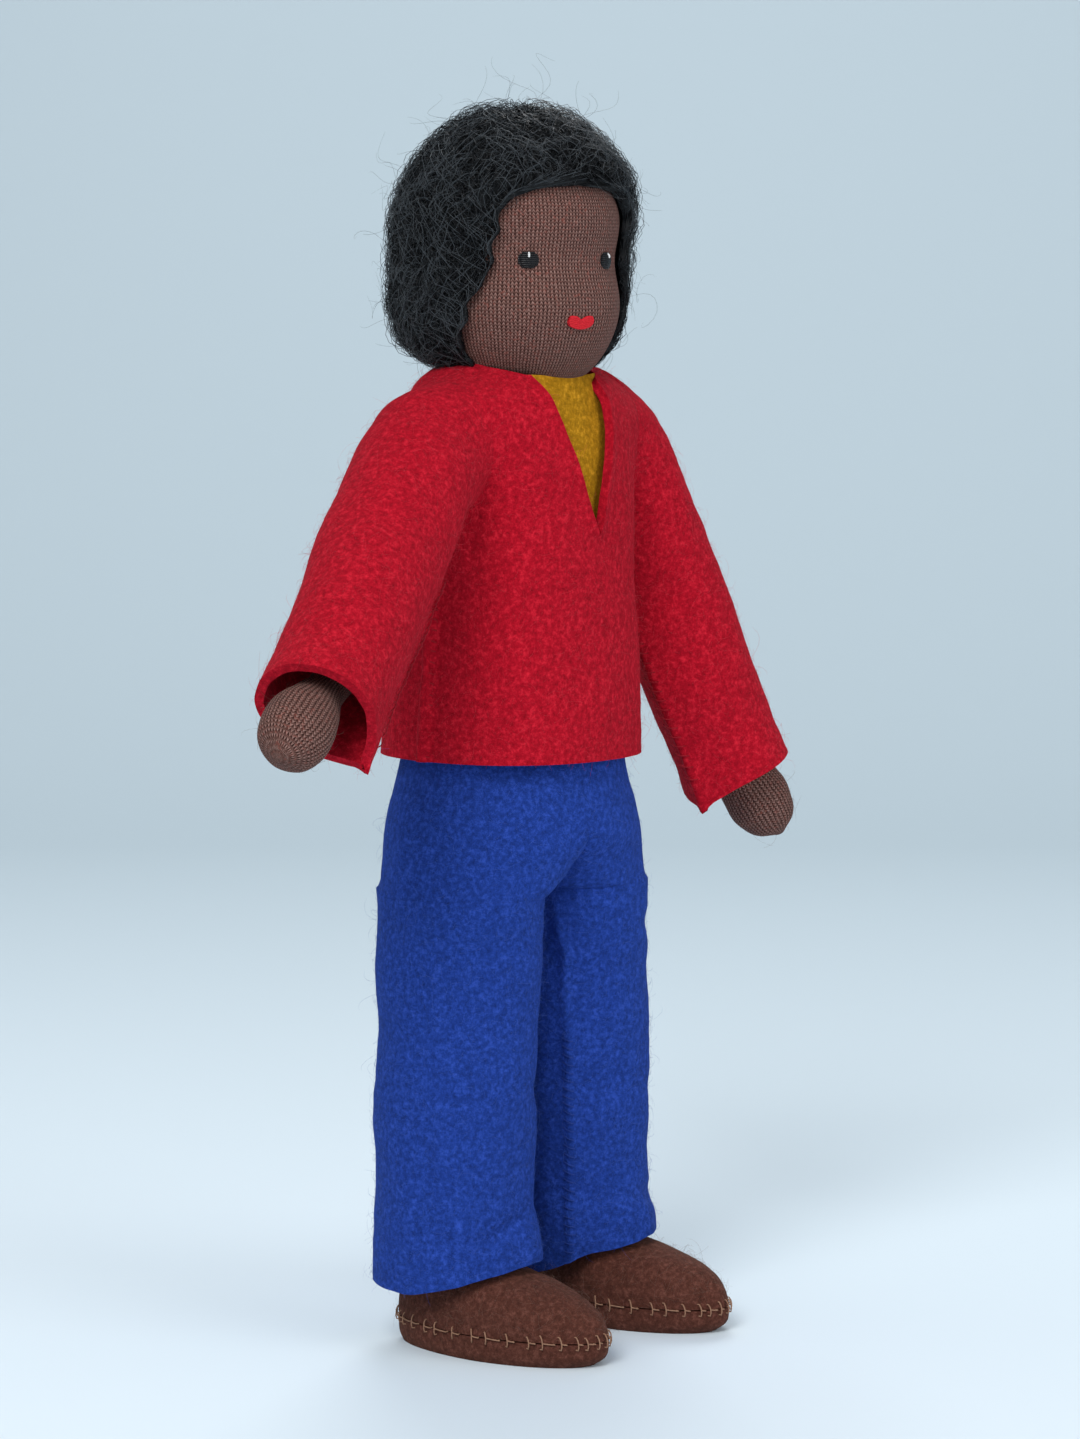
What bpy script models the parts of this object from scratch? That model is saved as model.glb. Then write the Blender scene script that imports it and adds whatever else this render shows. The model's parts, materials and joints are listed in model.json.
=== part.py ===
"""A bendy doll: a little felt-dressed man on a wire armature that keeps the pose it is bent to.

Metres, +Z up. The doll faces -Y, its right hand is at -X, and it stands on the plane Z = 0.
Each moving part hangs from an empty that stands on its joint, and limbs run down their empty's -Z.
"""

import math

import bmesh
import bpy
from mathutils import Matrix, Vector

# Lengths of the armature between its bends
ANKLE_HEIGHT = 0.0090
SHIN_LENGTH = 0.0245
THIGH_LENGTH = 0.0250
HIP_TO_WAIST = 0.0190
WAIST_TO_SHOULDER = 0.0315
SHOULDER_TO_NECK = 0.0030
NECK_LENGTH = 0.0050
HIP_OUT = 0.0090
SHOULDER_OUT = 0.0173
UPPER_ARM_LENGTH = 0.0209
FOREARM_LENGTH = 0.0218

# How the figure stands: R is its right side, L its left
SIDES = (("R", -1), ("L", 1))
ARM_SPREAD = {"R": math.radians(47), "L": math.radians(21)}
ARM_FORWARD = {"R": math.radians(24), "L": math.radians(12)}
HAND_SPREAD = {"R": math.radians(12), "L": math.radians(14)}
CHEST_TURN = math.radians(5)
CHEST_LEAN = math.radians(1.5)
HEAD_TURN = math.radians(-14)
LEG_TURN = {"R": math.radians(10), "L": math.radians(12)}
LEG_SPREAD = {"R": math.radians(-1), "L": math.radians(6)}
LEG_LEAN = math.radians(2)

# Felt, thread and the gap between pieces that touch
FELT = 0.0011
KNIT = 0.0006
CLEAR = 0.0003
CUTTER_OVERRUN = 0.0020

# Armature wire
WIRE_RADIUS = 0.0008
BEND_REACH = 0.0013
BEND_GAP = 0.0003

# Pullover
HEM_HALF_WIDTH = 0.0165
HEM_HALF_DEPTH = 0.0139
HEM_DROP = 0.0060
COLLAR_RISE = 0.0091
SLIT_WIDTH = 0.0090
SLIT_DEPTH = 0.0198
ARMHOLE_RADIUS = 0.0052
SLEEVE_HALF = 0.0072
CUFF_HALF = 0.0070
CUFF_START = 0.0046
CUFF_PAST_WRIST = 0.0028

# Undershirt
UNDERSHIRT_LENGTH = 0.0200
UNDERSHIRT_FELT = 0.0009

# Trousers
WAIST_HALF_WIDTH = 0.0144
WAIST_HALF_DEPTH = 0.0118
SEAT_HALF_WIDTH = 0.0178
SEAT_HALF_DEPTH = 0.0132
TROUSER_RISE = 0.0200
CROTCH_DROP = 0.0030
LEG_HALF = 0.0099
SHIN_TUBE_START = 0.0082
HEM_ABOVE_ANKLE = 0.0022

# Wool wound on the wire
LIMB_WRAP_HALF = 0.0032
THIGH_WRAP_HALF = 0.0056
SHIN_WRAP_HALF = 0.0050
WRAP_END_HALF = 0.0015
WRAP_END_GAP = 0.0032
TRUNK_SLACK = 0.0020

# Head and hair
HEAD_HALF_WIDTH = 0.0127
HEAD_HALF_DEPTH = 0.0130
HEAD_HALF_HEIGHT = 0.0149
HEAD_RISE = 0.0142
HEAD_FORWARD = -0.0006
NECK_OPENING = 0.0050
HAIR_DEPTH = 0.0031
EYE_HALF_WIDTH = 0.0011
EYE_HALF_HEIGHT = 0.0012
EYE_DEPTH = 0.0005
MOUTH_HALF_WIDTH = 0.0020
MOUTH_HALF_HEIGHT = 0.0009

# Hands
HAND_LENGTH = 0.0134
HAND_HALF_WIDTH = 0.0042
HAND_HALF_DEPTH = 0.0038
HAND_WIRE_LENGTH = 0.0070

# Shoes
SHOE_LENGTH = 0.0292
SHOE_WIDTH = 0.0132
HEEL_BEHIND_ANKLE = 0.0076
SEAM_HEIGHT = 0.0031
SHOE_TOP = 0.0105
FOOT_WIRE_LENGTH = 0.0110
THREAD_RADIUS = 0.00022
STITCH_HALF_HEIGHT = 0.0007
STITCHES = 22

# Roundness of the solids
GARMENT_SIDES = 20
LIMB_SIDES = 10
HEAD_SIDES = 24
HEAD_ROWS = 14

# Each table gives a place along the piece, then a width and a depth, as shares of its sizes
SWEATER_SHARES = (
    (0.00, 1.00, 1.00),
    (0.20, 0.965, 0.97),
    (0.45, 0.92, 0.92),
    (0.65, 0.93, 0.88),
    (0.80, 0.96, 0.82),
    (0.90, 0.95, 0.74),
    (0.96, 0.78, 0.69),
    (1.00, 0.55, 0.61),
)
SEAT_SHARES = ((0.0, 1.0), (0.2, 0.95), (0.4, 0.7), (0.6, 0.25), (0.75, 0.02), (1.0, 0.0))
THIGH_TUBE_SHARES = ((0.0, 0.90, 1.06), (0.3, 0.93, 1.03), (0.7, 0.96, 1.00), (1.0, 0.98, 1.00))
SHIN_TUBE_SHARES = ((0.0, 0.98, 1.00), (0.4, 0.96, 0.97), (0.8, 0.98, 0.96), (1.0, 1.02, 0.98))
UPPER_SLEEVE_SHARES = (
    (-0.30, 0.40, 0.40, 0.80),
    (-0.20, 0.78, 0.66, 0.50),
    (-0.08, 1.02, 0.82, 0.22),
    (0.08, 1.14, 0.96, 0.10),
    (0.35, 1.12, 1.02, 0.06),
    (0.70, 1.02, 1.00, 0.02),
    (1.00, 1.00, 1.00, 0.00),
)
CUFF_SHARES = ((0.0, 1.02, 0.98), (0.5, 1.0, 0.95), (0.85, 1.0, 0.95), (1.0, 1.03, 0.98))
ROUND_END_SHARES = ((0.97, 0.25), (0.85, 0.53), (0.5, 0.87), (0.0, 1.0))
SPINDLE_SHARES = ((0.0, 0.0), (0.18, 0.62), (0.5, 1.0), (0.82, 0.62), (1.0, 0.0))
CHEST_WRAP_SHARES = ((0.0, 0.52), (0.15, 0.84), (0.5, 0.98), (0.78, 1.0), (0.92, 0.72), (1.0, 0.42))
HIP_WRAP_SHARES = ((0.0, 0.35), (0.3, 0.86), (0.65, 0.98), (0.9, 0.80), (1.0, 0.45))
SLOPE_SHARE = 1.5
HIP_WIRE_SHARES = (
    (-1.0, 0.0), (-0.72, 0.0), (-0.5, 0.4), (-0.25, 0.85), (0.0, 1.0),
    (0.25, 0.85), (0.5, 0.4), (0.72, 0.0), (1.0, 0.0),
)
SHOULDER_WIRE_SHARES = (
    (-1.0, 0.0), (-0.8, 0.0), (-0.5, 0.6), (-0.2, 1.0), (0.2, 1.0), (0.5, 0.6), (0.8, 0.0), (1.0, 0.0),
)
HAND_SHARES = ((0.0, 0.58), (0.2, 0.78), (0.45, 1.0), (0.7, 0.97), (0.88, 0.68), (1.0, 0.25))
SHOE_UPPER_SHARES = (
    (0.00, 1.00, 1.00, 1.00),
    (0.28, 1.00, 0.97, 0.99),
    (0.55, 0.93, 0.86, 0.96),
    (0.78, 0.82, 0.66, 0.88),
    (0.92, 0.76, 0.45, 0.80),
    (1.00, 0.75, 0.30, 0.72),
)
SHOE_SOLE_SHARES = ((0.0, 0.92), (0.30, 0.98), (0.70, 1.0), (1.0, 1.0))
EYE_LINE_DIP_SHARE = 0.085
CHEEK_SHARE = 0.035
CURL_LUMPS_SHARE = 0.30

# Places on the head, by the turn from the middle of the face and the rise from its centre
EYE_TURN = math.radians(29)
EYE_RISE = math.radians(-3)
MOUTH_RISE = math.radians(-29)
CHEEK_TURN = math.radians(45)
CHEEK_RISE = math.radians(-24)
CHEEK_SPREAD = math.radians(24)
EYE_LINE_SPREAD = math.radians(11)
CROWN_RISE = math.radians(82)
HAIR_HEM_RISE = math.radians(-45)
HAIR_CROWN_RISE = math.radians(84)
HAIRLINE_TURN = math.radians(57)
HAIRLINE_BEND_RISE = math.radians(3)
HAIRLINE_TOP_RISE = math.radians(31)

WAIST_HEIGHT = ANKLE_HEIGHT + SHIN_LENGTH + THIGH_LENGTH + HIP_TO_WAIST
UP = Vector((0, 0, 1))


def clear_scene():
    for obj in list(bpy.data.objects):
        bpy.data.objects.remove(obj, do_unlink=True)


def new_collection(name, hidden=False):
    collection = bpy.data.collections.new(name)
    bpy.context.scene.collection.children.link(collection)
    collection.hide_render = hidden
    return collection


def material(name, colour, roughness, metallic=0.0):
    made = bpy.data.materials.new(name)
    made.use_nodes = True
    shader = made.node_tree.nodes["Principled BSDF"]
    shader.inputs["Base Color"].default_value = (*colour, 1.0)
    shader.inputs["Roughness"].default_value = roughness
    shader.inputs["Metallic"].default_value = metallic
    return made


def joint_empty(name, parent, place, turns=()):
    """An empty on a joint. Turns are (axis, angle), each about the frame that the last one left."""
    empty = bpy.data.objects.new(name, None)
    parts.objects.link(empty)
    turn = Matrix.Identity(4)
    for axis, angle in turns:
        turn = turn @ Matrix.Rotation(angle, 4, axis)
    empty.parent = parent
    empty.matrix_local = Matrix.Translation(Vector(place)) @ turn
    return empty


def add_object(name, mesh, parent, look=None, cutter=False):
    obj = bpy.data.objects.new(name, mesh)
    (cutters if cutter else parts).objects.link(obj)
    obj.parent = parent
    if cutter:
        obj.hide_render = True
        obj.display_type = "WIRE"
    else:
        mesh.materials.append(look)
        mesh.shade_smooth()
        mesh.set_sharp_from_angle(angle=math.radians(45))
    return obj


def between(before, start, end, after, share):
    """A point of the smooth curve that runs from start to end."""
    return 0.5 * (
        2 * start
        + (end - before) * share
        + (2 * before - 5 * start + 4 * end - after) * share**2
        + (3 * start - before - 3 * end + after) * share**3
    )


def smoothed(rows, steps):
    """The rows of a table with more rows read from a smooth curve between them."""
    last = len(rows) - 1
    found = []
    for index in range(last):
        near = [rows[min(max(index + shift, 0), last)] for shift in (-1, 0, 1, 2)]
        for step in range(steps):
            found.append(tuple(between(*values, step / steps) for values in zip(*near)))
    found.append(tuple(rows[last]))
    return found


def ring_mesh(name, rings, closed):
    """A mesh through rings of points, listed from the lowest up, with its ends closed or left open."""
    mesh = bpy.data.meshes.new(name)
    shape = bmesh.new()
    rows = [[shape.verts.new(point) for point in ring] for ring in rings]
    for low, high in zip(rows, rows[1:]):
        for index in range(len(low)):
            following = (index + 1) % len(low)
            shape.faces.new((low[index], low[following], high[following], high[index]))
    if closed:
        shape.faces.new(list(reversed(rows[0])))
        shape.faces.new(rows[-1])
    shape.to_mesh(mesh)
    shape.free()
    return mesh


def ellipse(height, half_x, half_y, middle_x=0.0, middle_y=0.0, sides=GARMENT_SIDES):
    """One ring of points about the Z axis."""
    ring = []
    for index in range(sides):
        angle = 2 * math.pi * index / sides
        across = middle_x + half_x * math.cos(angle)
        ring.append(Vector((across, middle_y + half_y * math.sin(angle), height)))
    return ring


def shell(obj, thickness):
    """Gives an open surface its thickness, inwards."""
    modifier = obj.modifiers.new("thickness", "SOLIDIFY")
    modifier.thickness = thickness
    modifier.offset = -1.0
    modifier.use_even_offset = False


def boolean(obj, other, operation="DIFFERENCE"):
    modifier = obj.modifiers.new(f"with_{other.name}", "BOOLEAN")
    modifier.operation = operation
    modifier.object = other


def curve_object(name, points, radius, parent, look=None, cyclic=False, resolution=2):
    """A round tube along points."""
    curve = bpy.data.curves.new(name, "CURVE")
    curve.dimensions = "3D"
    curve.bevel_depth = radius
    curve.bevel_resolution = resolution
    curve.use_fill_caps = True
    spline = curve.splines.new("POLY")
    spline.points.add(len(points) - 1)
    spline.use_cyclic_u = cyclic
    for point, place in zip(spline.points, points):
        point.co = (*place, 1.0)
    obj = bpy.data.objects.new(name, curve)
    parts.objects.link(obj)
    obj.parent = parent
    if look:
        curve.materials.append(look)
    return obj


def tube_cutter(name, points, radius, parent):
    """The hole that a wire leaves in what is wound or stuffed round it."""
    obj = curve_object(name, points, radius, parent)
    bpy.context.view_layer.update()
    graph = bpy.context.evaluated_depsgraph_get()
    mesh = bpy.data.meshes.new_from_object(obj.evaluated_get(graph))
    bpy.data.objects.remove(obj, do_unlink=True)
    shape = bmesh.new()
    shape.from_mesh(mesh)
    bmesh.ops.remove_doubles(shape, verts=shape.verts, dist=radius / GARMENT_SIDES)
    bmesh.ops.recalc_face_normals(shape, faces=shape.faces)
    shape.to_mesh(mesh)
    shape.free()
    return add_object(name, mesh, parent, cutter=True)


def wire(name, points, parent):
    return curve_object(name, points, WIRE_RADIUS, parent, LOOKS["wire"])


def along(points, overrun):
    """The same route, longer by an overrun at each end."""
    first, second = Vector(points[0]), Vector(points[1])
    last, before = Vector(points[-1]), Vector(points[-2])
    start = first + (first - second).normalized() * overrun
    end = last + (last - before).normalized() * overrun
    return [start, *points[1:-1], end]


def limb_wire(name, parent, start, length):
    """A wire down a limb's own axis to a round end at the next joint, with its route given back."""
    rings = [
        ellipse(-length - share * WIRE_RADIUS, half, half, sides=LIMB_SIDES)
        for share, half in ((deep, wide * WIRE_RADIUS) for deep, wide in ROUND_END_SHARES)
    ]
    rings.append(ellipse(-start, WIRE_RADIUS, WIRE_RADIUS, sides=LIMB_SIDES))
    add_object(name, ring_mesh(name, rings, True), parent, LOOKS["wire"])
    return [Vector((0, 0, -start)), Vector((0, 0, -length))]


def spindle(name, parent, start, end, half, wire_route):
    """Wool wound thickest in the middle of a limb, on its wire."""
    rings = [
        ellipse(
            -end + share * (end - start),
            WRAP_END_HALF + swell * (half - WRAP_END_HALF),
            WRAP_END_HALF + swell * (half - WRAP_END_HALF),
            sides=LIMB_SIDES,
        )
        for share, swell in SPINDLE_SHARES
    ]
    obj = add_object(name, ring_mesh(name, rings, True), parent, LOOKS["wool"])
    hole = tube_cutter(
        f"{name}_hole", along(wire_route, CUTTER_OVERRUN), WIRE_RADIUS + CLEAR, parent
    )
    boolean(obj, hole)
    return obj


def wire_twist(name, parent):
    """The round twist of the armature at a joint that turns two ways."""
    halves = [(-deep, wide) for deep, wide in ROUND_END_SHARES]
    halves += [(deep, wide) for deep, wide in reversed(ROUND_END_SHARES[:-1])]
    rings = [
        ellipse(rise * BEND_REACH, wide * BEND_REACH, wide * BEND_REACH, sides=LIMB_SIDES)
        for rise, wide in halves
    ]
    add_object(name, ring_mesh(name, rings, True), parent, LOOKS["wire"])


def row_at(rows, share):
    """The row of a table at a share that lies between two of its rows."""
    above = next(index for index, row in enumerate(rows) if row[0] > share)
    low, high = rows[above - 1], rows[above]
    part = (share - low[0]) / (high[0] - low[0])
    return tuple(start + (end - start) * part for start, end in zip(low, high))


# The nape-to-chest profile of the pullover, which the undershirt and the wool inside follow
def sweater_rows(inset=0.0, low_share=0.0):
    """Rings of the pullover in the chest's frame, drawn in by an inset."""
    length = HEM_DROP + WAIST_TO_SHOULDER + COLLAR_RISE - SLOPE_SHARE * inset
    table = smoothed(SWEATER_SHARES, 2)
    kept = [row_at(table, low_share)] + [row for row in table if row[0] > low_share]
    return [
        (
            -HEM_DROP + share * length,
            width_share * HEM_HALF_WIDTH - inset,
            depth_share * HEM_HALF_DEPTH - inset,
        )
        for share, width_share, depth_share in kept
    ]


def sweater_form(name, inset, closed, **ends):
    rings = [ellipse(height, width, depth) for height, width, depth in sweater_rows(inset, **ends)]
    return ring_mesh(name, rings, closed)


def build_trunk(pelvis, chest):
    """Armature, wool, undershirt and pullover of the trunk, and the seat of the trousers."""
    top = Vector((0, 0, HIP_TO_WAIST / 3))
    reach = HIP_OUT - BEND_REACH - CLEAR
    hip_route = [
        Vector((across * reach, 0, rise * top.z)) for across, rise in HIP_WIRE_SHARES
    ]
    wire("hip_wire", hip_route, pelvis)
    low_spine = [
        Vector((0, 0, top.z + 2 * WIRE_RADIUS + CLEAR)),
        Vector((0, 0, HIP_TO_WAIST - BEND_GAP)),
    ]
    wire("spine_wire_lower", low_spine, pelvis)
    neck_base = WAIST_TO_SHOULDER + SHOULDER_TO_NECK
    high_spine = [Vector((0, 0, BEND_GAP)), Vector((0, 0, neck_base - BEND_GAP))]
    wire("spine_wire_upper", high_spine, chest)
    arm_reach = SHOULDER_OUT - BEND_REACH - CLEAR
    behind = 2 * WIRE_RADIUS + CLEAR
    arm_route = [
        Vector((across * arm_reach, back * behind, WAIST_TO_SHOULDER))
        for across, back in SHOULDER_WIRE_SHARES
    ]
    wire("shoulder_wire", arm_route, chest)

    hole_radius = WIRE_RADIUS + CLEAR
    low_hole = tube_cutter("low_spine_hole", along(low_spine, CUTTER_OVERRUN), hole_radius, pelvis)
    hip_hole = tube_cutter("hip_hole", along(hip_route, CUTTER_OVERRUN), hole_radius, pelvis)
    high_hole = tube_cutter("high_spine_hole", along(high_spine, CUTTER_OVERRUN), hole_radius, chest)
    arm_hole = tube_cutter("shoulder_hole", along(arm_route, CUTTER_OVERRUN), hole_radius, chest)

    wrap_low = TROUSER_RISE - 2 * CROTCH_DROP
    wrap_top = HIP_TO_WAIST - WRAP_END_HALF
    wrap_bottom = wrap_top - wrap_low
    rings = [
        ellipse(
            wrap_bottom + share * wrap_low,
            swell * (WAIST_HALF_WIDTH - FELT - TRUNK_SLACK),
            swell * (WAIST_HALF_DEPTH - FELT - TRUNK_SLACK),
            sides=LIMB_SIDES,
        )
        for share, swell in HIP_WRAP_SHARES
    ]
    wrap = add_object("hip_wrap", ring_mesh("hip_wrap", rings, True), pelvis, LOOKS["wool"])
    boolean(wrap, low_hole)
    boolean(wrap, hip_hole)

    bottom = WRAP_END_HALF
    height = neck_base - WRAP_END_HALF - bottom
    rings = [
        ellipse(
            bottom + share * height,
            swell * (HEM_HALF_WIDTH - FELT - UNDERSHIRT_FELT - TRUNK_SLACK),
            swell * (HEM_HALF_DEPTH - FELT - UNDERSHIRT_FELT - 2 * TRUNK_SLACK),
            sides=LIMB_SIDES,
        )
        for share, swell in CHEST_WRAP_SHARES
    ]
    wrap = add_object("chest_wrap", ring_mesh("chest_wrap", rings, True), chest, LOOKS["wool"])
    boolean(wrap, high_hole)
    boolean(wrap, arm_hole)

    sweater = add_object(
        "sweater_body", sweater_form("sweater_body", 0.0, False), chest, LOOKS["crimson_felt"]
    )
    shell(sweater, FELT)
    length = HEM_DROP + WAIST_TO_SHOULDER + COLLAR_RISE
    shirt = add_object(
        "undershirt",
        sweater_form(
            "undershirt", FELT + CLEAR, False, low_share=1.0 - UNDERSHIRT_LENGTH / length
        ),
        chest,
        LOOKS["mustard_felt"],
    )
    shell(shirt, UNDERSHIRT_FELT)
    boolean(shirt, arm_hole)
    return sweater, shirt


def slit_cutter(chest):
    """The wedge that opens the pullover from its collar down the breast."""
    mesh = bpy.data.meshes.new("neck_slit")
    shape = bmesh.new()
    bmesh.ops.create_cube(shape, size=1.0)
    top = WAIST_TO_SHOULDER + COLLAR_RISE
    for vert in shape.verts:
        high = vert.co.z > 0
        half = SLIT_WIDTH / 2 if high else FELT / 4
        vert.co = Vector(
            (
                math.copysign(half, vert.co.x),
                -HEM_HALF_DEPTH - CUTTER_OVERRUN if vert.co.y < 0 else -CLEAR,
                top + CUTTER_OVERRUN if high else top - SLIT_DEPTH,
            )
        )
    shape.to_mesh(mesh)
    shape.free()
    return add_object("neck_slit", mesh, chest, cutter=True)


def build_arm(side_name, side, chest, sweater, shirt):
    """One arm from its two-way shoulder bend to the hand, with its sleeve."""
    link = joint_empty(
        f"shoulder_{side_name}",
        chest,
        (side * SHOULDER_OUT, 0, WAIST_TO_SHOULDER),
        [("X", -ARM_FORWARD[side_name])],
    )
    upper = joint_empty(
        f"upper_arm_{side_name}", link, (0, 0, 0), [("Y", -side * ARM_SPREAD[side_name])]
    )
    fore = joint_empty(f"forearm_{side_name}", upper, (0, 0, -UPPER_ARM_LENGTH))
    hand = joint_empty(
        f"hand_{side_name}", fore, (0, 0, -FOREARM_LENGTH), [("Y", -side * HAND_SPREAD[side_name])]
    )

    wire_twist(f"shoulder_bend_{side_name}", link)
    route = limb_wire(f"upper_arm_wire_{side_name}", upper, BEND_REACH + CLEAR, UPPER_ARM_LENGTH)
    spindle(
        f"upper_arm_wrap_{side_name}",
        upper,
        WRAP_END_GAP,
        UPPER_ARM_LENGTH - WRAP_END_GAP,
        LIMB_WRAP_HALF,
        route,
    )
    route = limb_wire(f"forearm_wire_{side_name}", fore, WIRE_RADIUS + CLEAR, FOREARM_LENGTH)
    spindle(
        f"forearm_wrap_{side_name}",
        fore,
        WRAP_END_GAP,
        FOREARM_LENGTH - WRAP_END_GAP / 2,
        LIMB_WRAP_HALF,
        route,
    )

    hole = tube_cutter(
        f"armhole_{side_name}",
        [Vector((0, 0, 2 * BEND_REACH)), Vector((0, 0, -UPPER_ARM_LENGTH))],
        ARMHOLE_RADIUS,
        upper,
    )
    boolean(sweater, hole)
    boolean(shirt, hole)

    sleeve_end = UPPER_ARM_LENGTH + CUFF_START - CLEAR
    rings = [
        ellipse(
            -share * sleeve_end,
            width_share * SLEEVE_HALF,
            depth_share * SLEEVE_HALF,
            -side * inward_share * SLEEVE_HALF,
        )
        for share, width_share, depth_share, inward_share in reversed(smoothed(UPPER_SLEEVE_SHARES, 2))
    ]
    sleeve = add_object(
        f"sleeve_upper_{side_name}",
        ring_mesh("sleeve_upper", rings, False),
        upper,
        LOOKS["crimson_felt"],
    )
    shell(sleeve, FELT)
    boolean(sleeve, grown_sweater)

    rings = []
    cuff_length = FOREARM_LENGTH + CUFF_PAST_WRIST - CUFF_START
    for share, width_share, depth_share in reversed(smoothed(CUFF_SHARES, 2)):
        rings.append(
            ellipse(
                -CUFF_START - share * cuff_length, width_share * CUFF_HALF, depth_share * CUFF_HALF
            )
        )
    cuff = add_object(
        f"sleeve_cuff_{side_name}",
        ring_mesh("sleeve_cuff", rings, False),
        fore,
        LOOKS["crimson_felt"],
    )
    shell(cuff, FELT)
    build_hand(side_name, hand)


def build_hand(side_name, hand):
    """A knit mitt round the turned-back end of the arm's wire."""
    rings = [
        ellipse(
            -CLEAR - share * (HAND_LENGTH - CLEAR),
            swell * HAND_HALF_DEPTH,
            swell * HAND_HALF_WIDTH,
            sides=LIMB_SIDES,
        )
        for share, swell in reversed(smoothed(HAND_SHARES, 1))
    ]
    mitt = add_object(
        f"hand_{side_name}_mitt", ring_mesh("mitt", rings, True), hand, LOOKS["knit"]
    )
    route = [Vector((0, 0, -WIRE_RADIUS - CLEAR)), Vector((0, 0, -HAND_WIRE_LENGTH))]
    wire(f"hand_wire_{side_name}", route, hand)
    hole = tube_cutter(
        f"hand_hole_{side_name}",
        [Vector((0, 0, CUTTER_OVERRUN)), route[1] - UP * CLEAR],
        WIRE_RADIUS + CLEAR,
        hand,
    )
    boolean(mitt, hole)


def build_seat(pelvis):
    """The seat of the trousers, from the crotch to inside the pullover's hem."""
    height = TROUSER_RISE + CROTCH_DROP
    rings = []
    for share, wide_share in smoothed(SEAT_SHARES, 2):
        half_x = WAIST_HALF_WIDTH + wide_share * (SEAT_HALF_WIDTH - WAIST_HALF_WIDTH)
        half_y = WAIST_HALF_DEPTH + wide_share * (SEAT_HALF_DEPTH - WAIST_HALF_DEPTH)
        rings.append(ellipse(share * height - CROTCH_DROP, half_x, half_y))
    seat = add_object(
        "trousers_seat", ring_mesh("trousers_seat", rings, False), pelvis, LOOKS["royal_felt"]
    )
    shell(seat, FELT)


def build_leg(side_name, side, pelvis):
    """One leg from its two-way hip bend to the shoe, with its half of the trousers."""
    turn = LEG_TURN[side_name]
    spread = side * LEG_SPREAD[side_name]
    link = joint_empty(f"hip_{side_name}", pelvis, (side * HIP_OUT, 0, 0))
    thigh = joint_empty(
        f"thigh_{side_name}", link, (0, 0, 0), [("X", LEG_LEAN), ("Z", turn), ("Y", -spread)]
    )
    shin = joint_empty(f"shin_{side_name}", thigh, (0, 0, -THIGH_LENGTH))
    upright_share = thigh.matrix_basis[2][2]
    shin_length = (THIGH_LENGTH + SHIN_LENGTH) / upright_share - THIGH_LENGTH
    foot = joint_empty(
        f"foot_{side_name}",
        shin,
        (0, 0, -shin_length),
        [("Y", spread), ("Z", -turn), ("X", -LEG_LEAN), ("Z", turn)],
    )

    wire_twist(f"hip_bend_{side_name}", link)
    route = limb_wire(f"thigh_wire_{side_name}", thigh, BEND_REACH + CLEAR, THIGH_LENGTH)
    spindle(
        f"thigh_wrap_{side_name}",
        thigh,
        WRAP_END_GAP,
        THIGH_LENGTH - WRAP_END_GAP,
        THIGH_WRAP_HALF,
        route,
    )
    route = limb_wire(f"shin_wire_{side_name}", shin, WIRE_RADIUS + CLEAR, shin_length)
    spindle(
        f"shin_wrap_{side_name}",
        shin,
        WRAP_END_GAP,
        shin_length - WRAP_END_GAP,
        SHIN_WRAP_HALF,
        route,
    )

    tilt = LEG_HALF * (math.sin(abs(spread)) + math.sin(LEG_LEAN))
    top = CROTCH_DROP + tilt + CLEAR
    length = THIGH_LENGTH + SHIN_TUBE_START - CLEAR - top
    leg_tube(f"trouser_thigh_{side_name}", thigh, top, length, THIGH_TUBE_SHARES)
    length = shin_length - HEM_ABOVE_ANKLE - SHIN_TUBE_START
    leg_tube(f"trouser_shin_{side_name}", shin, SHIN_TUBE_START, length, SHIN_TUBE_SHARES)
    build_shoe(side_name, foot)


def leg_tube(name, parent, start, length, shares):
    """A stretch of trouser leg, open at both ends."""
    rings = [
        ellipse(-start - share * length, width_share * LEG_HALF, depth_share * LEG_HALF)
        for share, width_share, depth_share in reversed(smoothed(shares, 2))
    ]
    tube = add_object(name, ring_mesh(name, rings, False), parent, LOOKS["royal_felt"])
    shell(tube, FELT)


def shoe_ring(height, width_share, front_share, back_share, inset=0.0, sides=GARMENT_SIDES):
    """One level outline of a shoe, in the foot's frame."""
    front = front_share * (SHOE_LENGTH - HEEL_BEHIND_ANKLE) - inset
    back = back_share * HEEL_BEHIND_ANKLE - inset
    half_x = width_share * SHOE_WIDTH / 2 - inset
    return ellipse(
        height - ANKLE_HEIGHT, half_x, (front + back) / 2, 0.0, (back - front) / 2, sides=sides
    )


def upper_rings(base, inset=0.0, rows=SHOE_UPPER_SHARES, sides=GARMENT_SIDES):
    """The outlines of a shoe's upper, or of what fills it, drawn in and down by an inset."""
    rise = SHOE_TOP - base - 2 * inset
    return [
        shoe_ring(base + share * rise, width, front, back, inset, sides)
        for share, width, front, back in rows
    ]


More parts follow.
